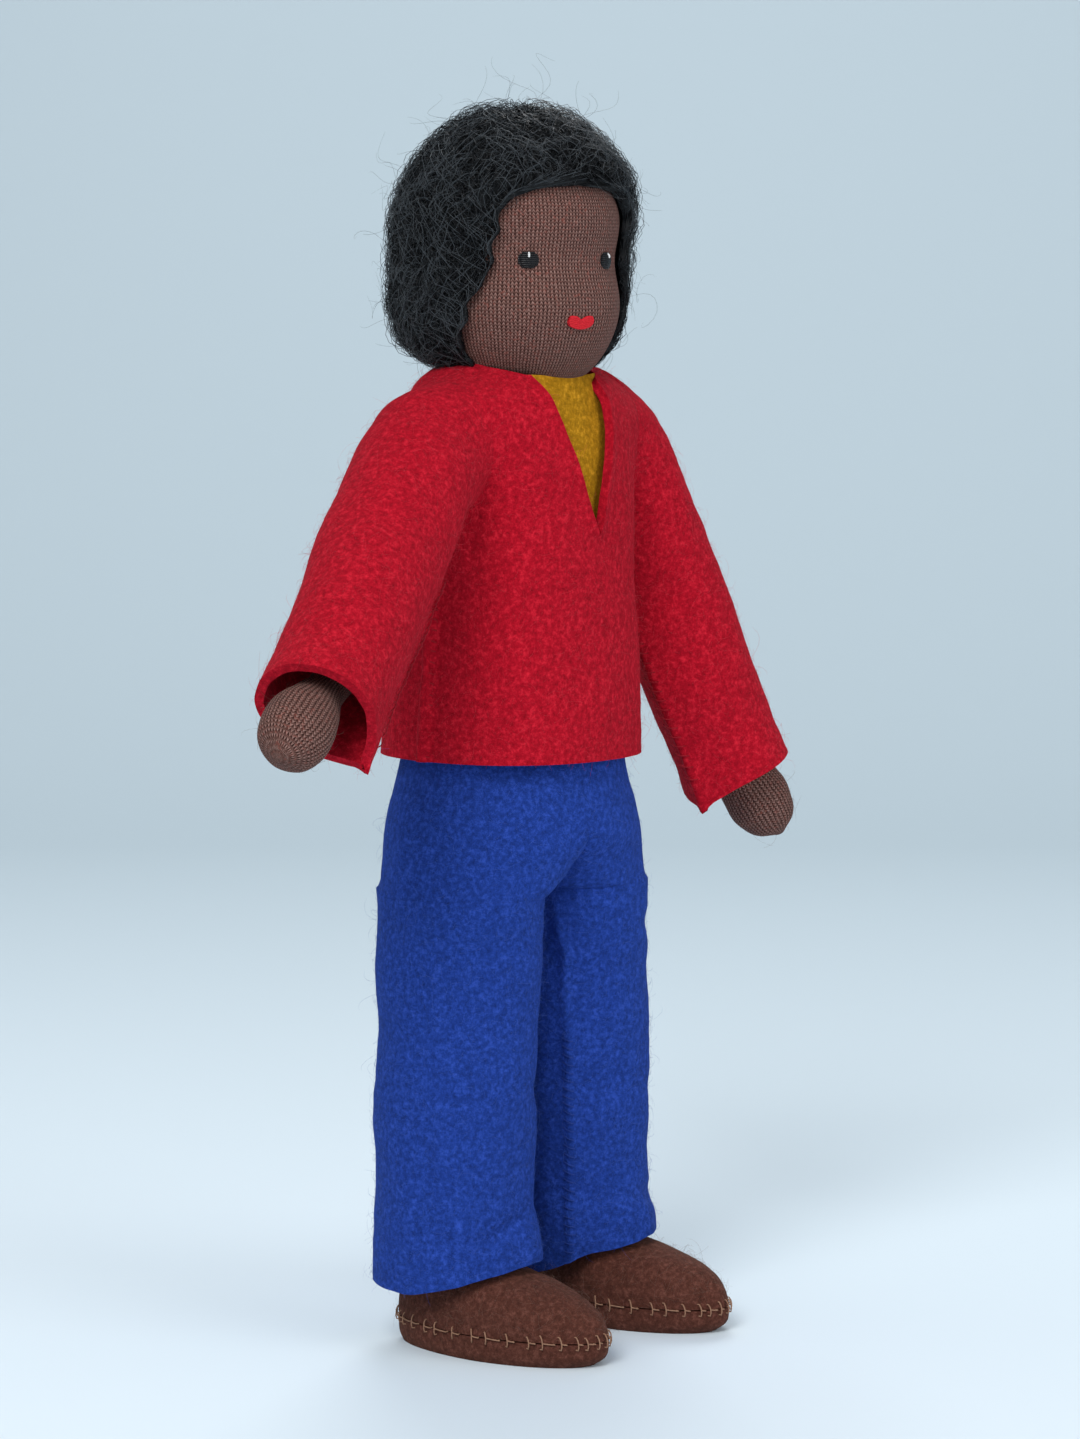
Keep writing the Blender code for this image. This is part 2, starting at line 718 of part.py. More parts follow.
def build_shoe(side_name, foot):
    """A stuffed felt slipper: upper and sole meet at a stitched seam, and the wire turns forward inside."""
    rings = [
        shoe_ring(share * (SEAM_HEIGHT - CLEAR / 2), outline, outline, outline)
        for share, outline in SHOE_SOLE_SHARES
    ]
    add_object(
        f"shoe_sole_{side_name}", ring_mesh("shoe_sole", rings, True), foot, LOOKS["brown_felt"]
    )
    base = SEAM_HEIGHT + CLEAR / 2
    upper = add_object(
        f"shoe_upper_{side_name}",
        ring_mesh("shoe_upper", upper_rings(base), False),
        foot,
        LOOKS["brown_felt"],
    )
    shell(upper, FELT)

    stuffing = add_object(
        f"shoe_stuffing_{side_name}",
        ring_mesh(
            "shoe_stuffing",
            upper_rings(base, FELT + CLEAR, SHOE_UPPER_SHARES[:-1], LIMB_SIDES),
            True,
        ),
        foot,
        LOOKS["wool"],
    )
    level = -(ANKLE_HEIGHT - SEAM_HEIGHT) / 2
    corner = 2 * WIRE_RADIUS
    route = [
        Vector((0, 0, -WIRE_RADIUS - CLEAR)),
        Vector((0, 0, level + corner)),
        Vector((0, -corner / 4, level + corner / 4)),
        Vector((0, -corner, level)),
        Vector((0, -FOOT_WIRE_LENGTH, level)),
    ]
    wire(f"foot_wire_{side_name}", route, foot)
    hole = tube_cutter(
        f"foot_hole_{side_name}",
        [Vector((0, 0, CUTTER_OVERRUN)), *route[1:-1], route[-1] - Vector((0, CLEAR, 0))],
        WIRE_RADIUS + CLEAR,
        foot,
    )
    boolean(stuffing, hole)
    build_stitching(side_name, foot)


def build_stitching(side_name, foot):
    """The thread that goes up and down over the shoe's seam, all the way round."""
    outside = -CLEAR - THREAD_RADIUS
    seam = shoe_ring(SEAM_HEIGHT, 1.0, 1.0, 1.0, outside, sides=2 * STITCHES)
    route = [
        point + UP * (STITCH_HALF_HEIGHT if index % 2 else -STITCH_HALF_HEIGHT)
        for index, point in enumerate(seam)
    ]
    curve_object(
        f"shoe_stitching_{side_name}",
        route,
        THREAD_RADIUS,
        foot,
        LOOKS["thread"],
        cyclic=True,
        resolution=1,
    )


def bump(value, middle, width):
    return math.exp(-(((value - middle) / width) ** 2))


def head_point(turn, rise, grow=0.0):
    """A point of the head's surface, or outside it, by its turn from the face and its rise."""
    face = 0.5 + 0.5 * math.cos(turn)
    sideways = math.remainder(turn, 2 * math.pi)
    cheeks = bump(abs(sideways), CHEEK_TURN, CHEEK_SPREAD) * bump(rise, CHEEK_RISE, CHEEK_SPREAD)
    eye_line = face * bump(rise, EYE_RISE, EYE_LINE_SPREAD)
    form = 1.0 - EYE_LINE_DIP_SHARE * eye_line + CHEEK_SHARE * cheeks
    return Vector(
        (
            (HEAD_HALF_WIDTH * form + grow) * math.cos(rise) * math.sin(turn),
            -(HEAD_HALF_DEPTH * form + grow) * math.cos(rise) * math.cos(turn) - HEAD_FORWARD,
            (HEAD_HALF_HEIGHT + grow) * math.sin(rise) + HEAD_RISE,
        )
    )


def head_rings(low, high, grow):
    """Rings of the head from one rise to another."""
    rings = []
    for row in range(HEAD_ROWS + 1):
        rise = low + (high - low) * row / HEAD_ROWS
        rings.append(
            [head_point(2 * math.pi * index / HEAD_SIDES, rise, grow) for index in range(HEAD_SIDES)]
        )
    return rings


def close_top(mesh):
    """Fills the uppermost ring of an open mesh."""
    shape = bmesh.new()
    shape.from_mesh(mesh)
    top = max(vert.co.z for vert in shape.verts)
    rim = [
        edge
        for edge in shape.edges
        if edge.is_boundary and all(vert.co.z > top - KNIT for vert in edge.verts)
    ]
    bmesh.ops.edgeloop_fill(shape, edges=rim)
    bmesh.ops.recalc_face_normals(shape, faces=shape.faces)
    shape.to_mesh(mesh)
    shape.free()
    return mesh


def hairline_turn(rise):
    """How far round from the face's middle the hair begins at one height."""
    if rise <= HAIRLINE_BEND_RISE:
        return HAIRLINE_TURN
    share = (rise - HAIRLINE_BEND_RISE) / (HAIRLINE_TOP_RISE - HAIRLINE_BEND_RISE)
    return HAIRLINE_TURN * math.sqrt(max(0.0, 1.0 - share**2))


def hair_mesh():
    """The cap of hair as an open surface just off the head, with each point's share of the depth."""
    mesh = bpy.data.meshes.new("hair")
    shape = bmesh.new()
    weights = []
    rows = []
    for row in range(HEAD_ROWS + 1):
        rise = HAIR_HEM_RISE + (HAIR_CROWN_RISE - HAIR_HEM_RISE) * row / HEAD_ROWS
        begin = hairline_turn(rise)
        line = []
        for index in range(HEAD_SIDES + 1):
            turn = begin + (2 * math.pi - 2 * begin) * index / HEAD_SIDES
            line.append(shape.verts.new(head_point(turn, rise, 2 * CLEAR)))
            lump = math.sin(5 * turn + 7 * rise) * math.sin(9 * rise - 2 * turn)
            weights.append(1.0 - CURL_LUMPS_SHARE * (0.5 - 0.5 * lump))
        rows.append(line)
    for low, high in zip(rows, rows[1:]):
        for index in range(HEAD_SIDES):
            shape.faces.new((low[index], high[index], high[index + 1], low[index + 1]))
    shape.faces.new(rows[-1][:-1])
    shape.verts.index_update()
    bmesh.ops.recalc_face_normals(shape, faces=shape.faces)
    shape.to_mesh(mesh)
    shape.free()
    return mesh, weights


def build_head(chest):
    """The neck, and the head with its knit cover, face and hair."""
    neck = joint_empty(
        "neck", chest, (0, 0, WAIST_TO_SHOULDER + SHOULDER_TO_NECK), [("Z", HEAD_TURN)]
    )
    head = joint_empty("head", neck, (0, 0, NECK_LENGTH))
    wire(
        "neck_wire",
        [Vector((0, 0, BEND_GAP)), Vector((0, 0, NECK_LENGTH - BEND_GAP))],
        neck,
    )
    route = [Vector((0, 0, BEND_GAP)), Vector((0, 0, HEAD_RISE * 2 / 3))]
    wire("head_wire", route, head)
    hole = tube_cutter(
        "head_hole",
        [Vector((0, 0, -CUTTER_OVERRUN)), route[1] + UP * CLEAR],
        WIRE_RADIUS + CLEAR,
        head,
    )
    neck_rise = -math.acos(NECK_OPENING / HEAD_HALF_WIDTH)
    ball = add_object(
        "head_ball",
        ring_mesh("head_ball", head_rings(neck_rise, CROWN_RISE, -KNIT - CLEAR), True),
        head,
        LOOKS["wool"],
    )
    boolean(ball, hole)
    cover = add_object(
        "head_cover",
        close_top(ring_mesh("head_cover", head_rings(neck_rise, CROWN_RISE, 0.0), False)),
        head,
        LOOKS["knit"],
    )
    shell(cover, KNIT)
    mesh, weights = hair_mesh()
    hair = add_object("hair", mesh, head, LOOKS["mohair"])
    group = hair.vertex_groups.new(name="depth")
    for index, weight in enumerate(weights):
        group.add([index], weight, "REPLACE")
    weld = hair.modifiers.new("parting", "WELD")
    weld.merge_threshold = CLEAR / 4
    depth = hair.modifiers.new("depth", "SOLIDIFY")
    depth.thickness = HAIR_DEPTH
    depth.offset = 1.0
    depth.vertex_group = "depth"
    build_face(head)


def build_face(head):
    """Two embroidered eyes and a curved embroidered mouth, laid on the knit cover."""
    for side_name, side in SIDES:
        mesh = bpy.data.meshes.new("eye")
        shape = bmesh.new()
        bmesh.ops.create_uvsphere(shape, u_segments=12, v_segments=8, radius=1.0)
        bmesh.ops.scale(
            shape, vec=(EYE_HALF_WIDTH, EYE_DEPTH, EYE_HALF_HEIGHT), verts=shape.verts
        )
        shape.to_mesh(mesh)
        shape.free()
        eye = add_object(f"eye_{side_name}", mesh, head, LOOKS["eye_thread"])
        eye.location = head_point(side * EYE_TURN, EYE_RISE, CLEAR + EYE_DEPTH)
        eye.rotation_euler = (0, 0, side * EYE_TURN)
    spread = MOUTH_HALF_WIDTH / HEAD_HALF_DEPTH
    route = []
    for share in (-1.0, -0.6, 0.0, 0.6, 1.0):
        drop = MOUTH_HALF_HEIGHT * (1.0 - share**2) / HEAD_HALF_HEIGHT
        route.append(
            head_point(share * spread, MOUTH_RISE - drop, CLEAR + MOUTH_HALF_HEIGHT / 2)
        )
    curve_object("mouth", route, MOUTH_HALF_HEIGHT / 2, head, LOOKS["mouth_thread"])


def stand_on_origin(root):
    """Moves the whole doll so that the middle of its box's floor is at the origin."""
    bpy.context.view_layer.update()
    graph = bpy.context.evaluated_depsgraph_get()
    corners = []
    for obj in parts.objects:
        if obj.type != "EMPTY":
            shown = obj.evaluated_get(graph)
            corners += [shown.matrix_world @ vert.co for vert in shown.to_mesh().vertices]
            shown.to_mesh_clear()
    lowest = Vector([min(corner[axis] for corner in corners) for axis in range(3)])
    highest = Vector([max(corner[axis] for corner in corners) for axis in range(3)])
    middle = (lowest + highest) / 2
    root.location = root.location - Vector((middle.x, middle.y, lowest.z))


clear_scene()
parts = new_collection("bendy_doll")
cutters = new_collection("cutters", hidden=True)
LOOKS = {
    "crimson_felt": material("crimson_felt", (0.60, 0.012, 0.028), 0.95),
    "royal_felt": material("royal_felt", (0.010, 0.050, 0.40), 0.95),
    "mustard_felt": material("mustard_felt", (0.50, 0.28, 0.012), 0.95),
    "brown_felt": material("brown_felt", (0.045, 0.024, 0.016), 0.95),
    "knit": material("knit", (0.115, 0.050, 0.034), 0.9),
    "mohair": material("mohair", (0.006, 0.006, 0.007), 0.5),
    "eye_thread": material("eye_thread", (0.008, 0.008, 0.010), 0.4),
    "mouth_thread": material("mouth_thread", (0.62, 0.02, 0.03), 0.8),
    "thread": material("thread", (0.30, 0.17, 0.09), 0.85),
    "wool": material("wool", (0.72, 0.66, 0.55), 0.95),
    "wire": material("wire", (0.55, 0.55, 0.57), 0.35, 1.0),
}

figure = joint_empty("figure", None, (0, 0, 0))
pelvis = joint_empty("pelvis", figure, (0, 0, WAIST_HEIGHT - HIP_TO_WAIST))
chest = joint_empty(
    "chest", pelvis, (0, 0, HIP_TO_WAIST), [("Z", CHEST_TURN), ("Y", CHEST_LEAN)]
)
grown_sweater = add_object(
    "grown_sweater", sweater_form("grown_sweater", -CLEAR, True), chest, cutter=True
)
sweater, shirt = build_trunk(pelvis, chest)
boolean(sweater, slit_cutter(chest))
for side_name, side in SIDES:
    build_arm(side_name, side, chest, sweater, shirt)
    build_leg(side_name, side, pelvis)
build_seat(pelvis)
build_head(chest)
stand_on_origin(figure)
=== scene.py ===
import json
import math

import bmesh
import bpy
import numpy as np
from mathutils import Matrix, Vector, noise

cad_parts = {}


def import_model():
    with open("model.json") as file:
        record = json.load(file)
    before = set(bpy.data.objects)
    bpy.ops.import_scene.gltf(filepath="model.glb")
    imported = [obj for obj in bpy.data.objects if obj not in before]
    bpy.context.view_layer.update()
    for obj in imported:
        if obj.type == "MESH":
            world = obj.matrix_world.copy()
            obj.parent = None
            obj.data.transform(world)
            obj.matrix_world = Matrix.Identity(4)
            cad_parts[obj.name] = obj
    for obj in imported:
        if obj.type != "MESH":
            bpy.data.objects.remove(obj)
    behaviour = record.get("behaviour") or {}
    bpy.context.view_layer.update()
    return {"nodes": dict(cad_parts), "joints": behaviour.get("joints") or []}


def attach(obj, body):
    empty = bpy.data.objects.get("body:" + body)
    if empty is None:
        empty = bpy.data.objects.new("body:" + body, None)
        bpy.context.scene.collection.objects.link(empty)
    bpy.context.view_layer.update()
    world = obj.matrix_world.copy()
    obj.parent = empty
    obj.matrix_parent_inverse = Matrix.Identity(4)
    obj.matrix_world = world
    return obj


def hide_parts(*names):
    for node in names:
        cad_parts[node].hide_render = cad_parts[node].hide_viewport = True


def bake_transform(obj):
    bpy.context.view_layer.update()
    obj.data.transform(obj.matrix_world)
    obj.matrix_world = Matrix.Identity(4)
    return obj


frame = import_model()
RANDOM = np.random.default_rng(1153)
JOINTS = {joint["name"]: joint for joint in frame["joints"]}
SIDES = (("R", -1.0), ("L", 1.0))
MM = 0.001

# Garment sizes, in metres, as the solids have them
FELT = 1.1 * MM
HEM_HALF = (16.5 * MM, 13.9 * MM)
HEM_DROP = 6.0 * MM
COLLAR_RISE = 9.1 * MM
WAIST_TO_SHOULDER = 31.5 * MM
COLLAR_DIP = 2.2 * MM
SLIT_DEPTH = 19.8 * MM
SLEEVE_HALF = 7.2 * MM
CUFF_HALF = 7.0 * MM
CUFF_PAST_WRIST = 2.8 * MM
WAIST_HALF = (14.4 * MM, 11.8 * MM)
SEAT_HALF = (17.8 * MM, 13.2 * MM)
TROUSER_RISE = 20.0 * MM
CROTCH_DROP = 3.0 * MM
HIP_OUT = 9.0 * MM
LEG_HALF = 9.9 * MM
HEM_ABOVE_ANKLE = 1.3 * MM
HEAD_HALF = (12.7 * MM, 13.0 * MM, 14.9 * MM)
HEAD_RISE = 14.2 * MM
HEAD_FORWARD = -0.6 * MM
ANKLE_HEIGHT = 9.0 * MM
SHOE_LENGTH = 29.2 * MM
SHOE_HALF_WIDTH = 6.6 * MM
HEEL_BEHIND_ANKLE = 7.6 * MM
SEAM_HEIGHT = 3.1 * MM
SHOE_TOP = 10.5 * MM
HAND_LENGTH = 13.4 * MM
HAND_HALF = (4.2 * MM, 3.8 * MM)

# A place along each form, then its width and depth as shares of its sizes
SWEATER_SHARES = (
    (0.00, 1.00, 1.00),
    (0.20, 0.965, 0.97),
    (0.45, 0.92, 0.92),
    (0.65, 0.93, 0.88),
    (0.80, 0.96, 0.82),
    (0.90, 0.95, 0.74),
    (0.96, 0.78, 0.69),
    (1.00, 0.55, 0.61),
)
SEAT_SHARES = ((0.0, 1.0), (0.2, 0.95), (0.4, 0.7), (0.6, 0.25), (0.75, 0.02), (1.0, 0.0))
CROTCH_START = 7.0 * MM
LEG_SHARES = (
    (0.00, 0.91, 1.10),
    (0.15, 0.93, 1.05),
    (0.38, 0.96, 1.00),
    (0.62, 0.98, 1.00),
    (0.80, 0.96, 0.97),
    (0.92, 0.98, 0.96),
    (1.00, 1.02, 0.98),
)
SLEEVE_SHARES = (
    (-0.20, 0.40, 0.40, 0.80),
    (-0.13, 0.76, 0.70, 0.50),
    (-0.05, 0.97, 0.88, 0.22),
    (0.05, 1.05, 0.97, 0.10),
    (0.21, 1.06, 1.01, 0.06),
    (0.42, 1.02, 1.00, 0.02),
    (0.60, 0.99, 0.97, 0.00),
    (0.80, 0.97, 0.93, 0.00),
    (0.93, 0.97, 0.93, 0.00),
    (1.00, 1.00, 0.96, 0.00),
)
HAND_SHARES = ((0.0, 0.58), (0.2, 0.78), (0.45, 1.0), (0.7, 0.97), (0.88, 0.68), (1.0, 0.15))
SHOE_UPPER_SHARES = (
    (0.00, 1.00, 1.00, 1.00),
    (0.28, 1.00, 0.97, 0.99),
    (0.55, 0.93, 0.86, 0.96),
    (0.78, 0.82, 0.66, 0.88),
    (0.92, 0.76, 0.45, 0.80),
    (1.00, 0.75, 0.30, 0.72),
)
SHOE_SOLE_SHARES = ((0.0, 0.92), (0.30, 0.98), (0.70, 1.0), (1.0, 1.0))

# Places on the head, by the turn from the middle of the face and the rise from its centre
# The slit's half widths from its foot to the collar, on the doll's right and left
SLIT_SHARES = (
    (0.0, 0.1 * MM, 0.1 * MM),
    (0.10, 1.1 * MM, 1.0 * MM),
    (0.22, 1.9 * MM, 1.7 * MM),
    (0.38, 2.8 * MM, 2.5 * MM),
    (0.75, 5.0 * MM, 4.4 * MM),
    (1.0, 6.2 * MM, 4.3 * MM),
)
EYE_TURN = math.radians(29)
EYE_RISE = math.radians(-3)
EYE_SHIFT = math.radians(-2.5)
EYE_LINE_DIP_SHARE = 0.12
EYE_LINE_SPREAD = math.radians(15)
JAW_POWER = 2.7
CHIN_DROP = 2.2 * MM
MOUTH_RISE = math.radians(-29)
CHEEK_TURN = math.radians(24)
CHEEK_RISE = math.radians(-24)
CHEEK_SPREAD = math.radians(20)
CHEEK_SHARE = 0.035
HAIRLINE_TURN = math.radians(57)
HAIRLINE_BEND_RISE = math.radians(3)
HAIRLINE_TOP_RISE = math.radians(31)
HAIRLINE_FLARE = math.radians(20)
HAIR_HEM_RISE = math.radians(-50)


# Frames
def unit(vector):
    vector = np.asarray(vector, float)
    return vector / np.linalg.norm(vector)


def axis(joint, sign=1.0):
    return sign * unit(JOINTS[joint]["axis"])


def place(joint):
    return np.array(JOINTS[joint]["pos_m"], float)


def local(origin, x_axis, z_axis):
    """A frame as its origin and its three axes in columns."""
    z_axis = unit(z_axis)
    y_axis = unit(np.cross(z_axis, x_axis))
    return np.asarray(origin, float), np.column_stack([np.cross(y_axis, z_axis), y_axis, z_axis])


def world(at, points):
    origin, axes = at
    return origin + np.asarray(points, float) @ axes.T


HIP_MIDDLE = (place("hip_swing_R") + place("hip_swing_L")) / 2
FRAMES = {
    "pelvis": local(HIP_MIDDLE, (1, 0, 0), (0, 0, 1)),
    "chest": local(place("waist_bend"), axis("shoulder_swing_R", -1), axis("neck_turn")),
    "neck": local(place("neck_turn"), axis("neck_nod"), axis("neck_turn")),
    "head": local(place("neck_nod"), axis("neck_nod"), axis("neck_turn")),
}
for side_name, _ in SIDES:
    shoulder, elbow, wrist = (
        place(f"{joint}_{side_name}") for joint in ("shoulder_raise", "elbow_bend", "wrist_bend")
    )
    across = axis(f"elbow_bend_{side_name}", -1)
    FRAMES[f"upper_arm_{side_name}"] = local(shoulder, across, shoulder - elbow)
    FRAMES[f"forearm_{side_name}"] = local(elbow, across, elbow - wrist)
    hand_across = axis(f"wrist_bend_{side_name}", -1)
    fore_ways = FRAMES[f"forearm_{side_name}"][1]
    FRAMES[f"hand_{side_name}"] = local(wrist, hand_across, np.cross(hand_across, fore_ways[:, 1]))
    hip, knee, ankle = (
        place(f"{joint}_{side_name}") for joint in ("hip_swing", "knee_bend", "ankle_bend")
    )
    across = axis(f"knee_bend_{side_name}")
    FRAMES[f"thigh_{side_name}"] = local(hip, across, hip - knee)
    FRAMES[f"shin_{side_name}"] = local(knee, across, knee - ankle)
    FRAMES[f"foot_{side_name}"] = local(ankle, axis(f"ankle_bend_{side_name}", -1), (0, 0, 1))


# Shapes
def spline(table, shares):
    """The table's columns at each share, on a smooth curve through its rows."""
    table = np.asarray(table, float)
    knots, values = table[:, 0], table[:, 1:]
    slopes = np.gradient(values, knots, axis=0)
    shares = np.clip(np.asarray(shares, float), knots[0], knots[-1])
    low = np.clip(np.searchsorted(knots, shares, side="right") - 1, 0, len(knots) - 2)
    span = (knots[low + 1] - knots[low])[:, None]
    t = ((shares - knots[low]) / span[:, 0])[:, None]
    return (
        (2 * t**3 - 3 * t**2 + 1) * values[low]
        + (t**3 - 2 * t**2 + t) * span * slopes[low]
        + (3 * t**2 - 2 * t**3) * values[low + 1]
        + (t**3 - t**2) * span * slopes[low + 1]
    )


def bump(value, middle, width):
    return np.exp(-(((value - middle) / width) ** 2))


def step(value, low, high):
    t = np.clip((value - low) / (high - low), 0.0, 1.0)
    return t * t * (3 - 2 * t)


def lumps(points, scale, seed):
    """Smooth noise from -1 to 1 at each point, with features of one size."""
    flat = np.asarray(points, float).reshape(-1, 3) / scale + seed
    values = [noise.noise(Vector(point)) for point in flat]
    return np.array(values).reshape(np.shape(points)[:-1])


def shake(points, scale, seed):
    """Smooth noise as a vector at each point, so that pieces that share points still meet."""
    flat = np.asarray(points, float).reshape(-1, 3) / scale + seed
    values = [noise.noise_vector(Vector(point)) for point in flat]
    return np.array(values).reshape(np.shape(points))


def outward(grid):
    """The normal at each point of a grid that closes on itself round the columns."""
    round_ways = np.roll(grid, -1, axis=1) - np.roll(grid, 1, axis=1)
    up_ways = np.gradient(grid, axis=0)
    normals = np.cross(round_ways, up_ways)
    return normals / np.maximum(np.linalg.norm(normals, axis=2, keepdims=True), 1e-12)


def mesh_object(name, points, faces, material, smooth=True):
    mesh = bpy.data.meshes.new(name)
    mesh.from_pydata(np.asarray(points, float).tolist(), [], [list(face) for face in faces])
    mesh.validate()
    mesh.polygons.foreach_set("use_smooth", [smooth] * len(mesh.polygons))
    mesh.update()
    obj = bpy.data.objects.new(name, mesh)
    bpy.context.scene.collection.objects.link(obj)
    mesh.materials.append(material)
    return obj


def grid_faces(rows, columns, wrap=True, base=0):
    faces = []
    for row in range(rows - 1):
        for column in range(columns if wrap else columns - 1):
            right = (column + 1) % columns
            faces.append(
                (
                    base + row * columns + column,
                    base + row * columns + right,
                    base + (row + 1) * columns + right,
                    base + (row + 1) * columns + column,
                )
            )
    return faces


def grid_object(name, grid, material, wrap=True, cap_low=False, cap_high=False):
    """A surface through rows of points, listed from the lowest up."""
    rows, columns = grid.shape[:2]
    faces = grid_faces(rows, columns, wrap)
    if cap_low:
        faces.append(tuple(reversed(range(columns))))
    if cap_high:
        faces.append(tuple(range((rows - 1) * columns, rows * columns)))
    return mesh_object(name, grid.reshape(-1, 3), faces, material)


def thicken(obj, thickness):
    """Gives a sheet its thickness, with crisp cut edges."""
    shape = bmesh.new()
    shape.from_mesh(obj.data)
    bmesh.ops.remove_doubles(shape, verts=shape.verts, dist=0.001 * MM)
    for edge in shape.edges:
        edge.smooth = not edge.is_boundary
    shape.to_mesh(obj.data)
    shape.free()
    modifier = obj.modifiers.new("thickness", "SOLIDIFY")
    modifier.thickness = thickness
    modifier.offset = -1.0
    modifier.use_quality_normals = True


def tubes(name, paths, radii, material, sides=3):
    """One mesh of many thin closed tubes. paths is tubes x points x 3, radii tubes x points."""
    paths = np.asarray(paths, float)
    count, length = paths.shape[:2]
    radii = np.broadcast_to(radii, (count, length))
    ways = np.gradient(paths, axis=1)
    ways /= np.maximum(np.linalg.norm(ways, axis=2, keepdims=True), 1e-12)
    main = ways.mean(axis=1)
    guide = np.where(np.abs(main[:, 2:3]) < 0.8 * np.linalg.norm(main, axis=1, keepdims=True),
                     [[0.0, 0.0, 1.0]], [[1.0, 0.0, 0.0]])
    first = np.cross(ways, guide[:, None, :])
    first /= np.maximum(np.linalg.norm(first, axis=2, keepdims=True), 1e-12)
    second = np.cross(ways, first)
    angles = 2 * np.pi * np.arange(sides) / sides
    ring = (
        first[:, :, None, :] * np.cos(angles)[None, None, :, None]
        + second[:, :, None, :] * np.sin(angles)[None, None, :, None]
    )
    points = paths[:, :, None, :] + ring * radii[:, :, None, None]
    one = np.array(grid_faces(length, sides))
    bases = (np.arange(count) * length * sides)[:, None, None]
    quads = (one[None] + bases).reshape(-1, 4).tolist()
    low = (np.arange(sides)[None] + bases[:, :, 0]).tolist()
    high = (np.arange(sides)[::-1][None] + (length - 1) * sides + bases[:, :, 0]).tolist()
    return mesh_object(name, points.reshape(-1, 3), quads + high + low, material)


def path_tube(name, path, radius, material, sides=8):
    path = np.asarray(path, float)[None]
    return tubes(name, path, np.full(path.shape[:2], radius), material, sides)


def surface_samples(points, faces, count):
    """Places spread evenly over a mesh of quads, with the surface's normal at each."""
    points, faces = np.asarray(points, float), np.asarray(faces)
    a, b, c, d = (points[faces[:, index]] for index in range(4))
    normals = np.cross(c - a, d - b)
    areas = np.linalg.norm(normals, axis=1)
    chosen = RANDOM.choice(len(faces), count, p=areas / areas.sum())
    u, v = RANDOM.random((2, count, 1))
    at = (
        (1 - u) * (1 - v) * a[chosen] + u * (1 - v) * b[chosen]
        + u * v * c[chosen] + (1 - u) * v * d[chosen]
    )
    return at, normals[chosen] / np.maximum(areas[chosen, None], 1e-15)


def fibres(name, grid, count, material, length=0.95 * MM, lift=0.55, radius=0.009 * MM, wrap=True):
    """Loose fibres that lie on a felt or knit surface, some of them standing off it."""
    rows, columns = grid.shape[:2]
    at, normals = surface_samples(grid.reshape(-1, 3), grid_faces(rows, columns, wrap), count)
    ways = RANDOM.normal(size=(count, 3))
    ways -= normals * (ways * normals).sum(1, keepdims=True)
    ways /= np.linalg.norm(ways, axis=1, keepdims=True)
    bends = np.cross(normals, ways) * RANDOM.normal(0, 0.6, (count, 1))
    lengths = length * RANDOM.gamma(3.0, 1 / 3.0, (count, 1))
    lifts = lift * RANDOM.gamma(1.2, 1 / 1.2, (count, 1))
    paths = []
    for t in np.linspace(0.0, 1.0, 6):
        paths.append(
            at
            + ways * lengths * t
            + bends * lengths * t * t
            + normals * lengths * lifts * (1.15 * t - 0.75 * t * t)
            - normals * 0.04 * MM
        )
    paths = np.stack(paths, axis=1)
    thin = np.array([1.0, 1.0, 0.95, 0.85, 0.7, 0.35])
    return tubes(name, paths, radius * thin[None] * RANDOM.uniform(0.7, 1.3, (count, 1)), material)


# Materials
def new_material(name, roughness, sheen=0.0, sheen_tint=(1, 1, 1)):
    material = bpy.data.materials.new(name)
    material.use_nodes = True
    tree = material.node_tree
    shader = tree.nodes["Principled BSDF"]
    shader.inputs["Roughness"].default_value = roughness
    shader.inputs["Specular IOR Level"].default_value = 0.25
    shader.inputs["Sheen Weight"].default_value = sheen
    shader.inputs["Sheen Roughness"].default_value = 0.5
    shader.inputs["Sheen Tint"].default_value = (*sheen_tint, 1)
    place_node = tree.nodes.new("ShaderNodeTexCoord")
    return material, tree, shader, place_node.outputs["Object"]


def noise_node(tree, vector, scale, detail=4.0, roughness=0.6, distortion=0.0):
    node = tree.nodes.new("ShaderNodeTexNoise")
    node.inputs["Scale"].default_value = scale
    node.inputs["Detail"].default_value = detail
    node.inputs["Roughness"].default_value = roughness
    node.inputs["Distortion"].default_value = distortion
    tree.links.new(vector, node.inputs["Vector"])
    return node.outputs["Fac"]


def ramp_node(tree, value, stops):
    node = tree.nodes.new("ShaderNodeValToRGB")
    tree.links.new(value, node.inputs["Fac"])
    elements = node.color_ramp.elements
    while len(elements) < len(stops):
        elements.new(0.5)
    for element, (position, colour) in zip(elements, stops):
        element.position = position
        element.color = (*colour, 1) if len(colour) == 3 else colour
    return node.outputs["Color"]


def math_node(tree, operation, first, second):
    node = tree.nodes.new("ShaderNodeMath")
    node.operation = operation
    for socket, value in zip(node.inputs, (first, second)):
        if isinstance(value, (int, float)):
            socket.default_value = value
        else:
            tree.links.new(value, socket)
    return node.outputs[0]


def mix_colour(tree, factor, first, second, blend="MIX"):
    node = tree.nodes.new("ShaderNodeMix")
    node.data_type = "RGBA"
    node.blend_type = blend
    for socket, value in ((0, factor), (6, first), (7, second)):
        if isinstance(value, (int, float)):
            node.inputs[socket].default_value = value
        elif isinstance(value, tuple):
            node.inputs[socket].default_value = (*value, 1)
        else:
            tree.links.new(value, node.inputs[socket])
    return node.outputs[2]


def bump_node(tree, height, distance, strength, normal=None):
    node = tree.nodes.new("ShaderNodeBump")
    node.inputs["Distance"].default_value = distance
    node.inputs["Strength"].default_value = strength
    tree.links.new(height, node.inputs["Height"])
    if normal is not None:
        tree.links.new(normal, node.inputs["Normal"])
    return node.outputs["Normal"]


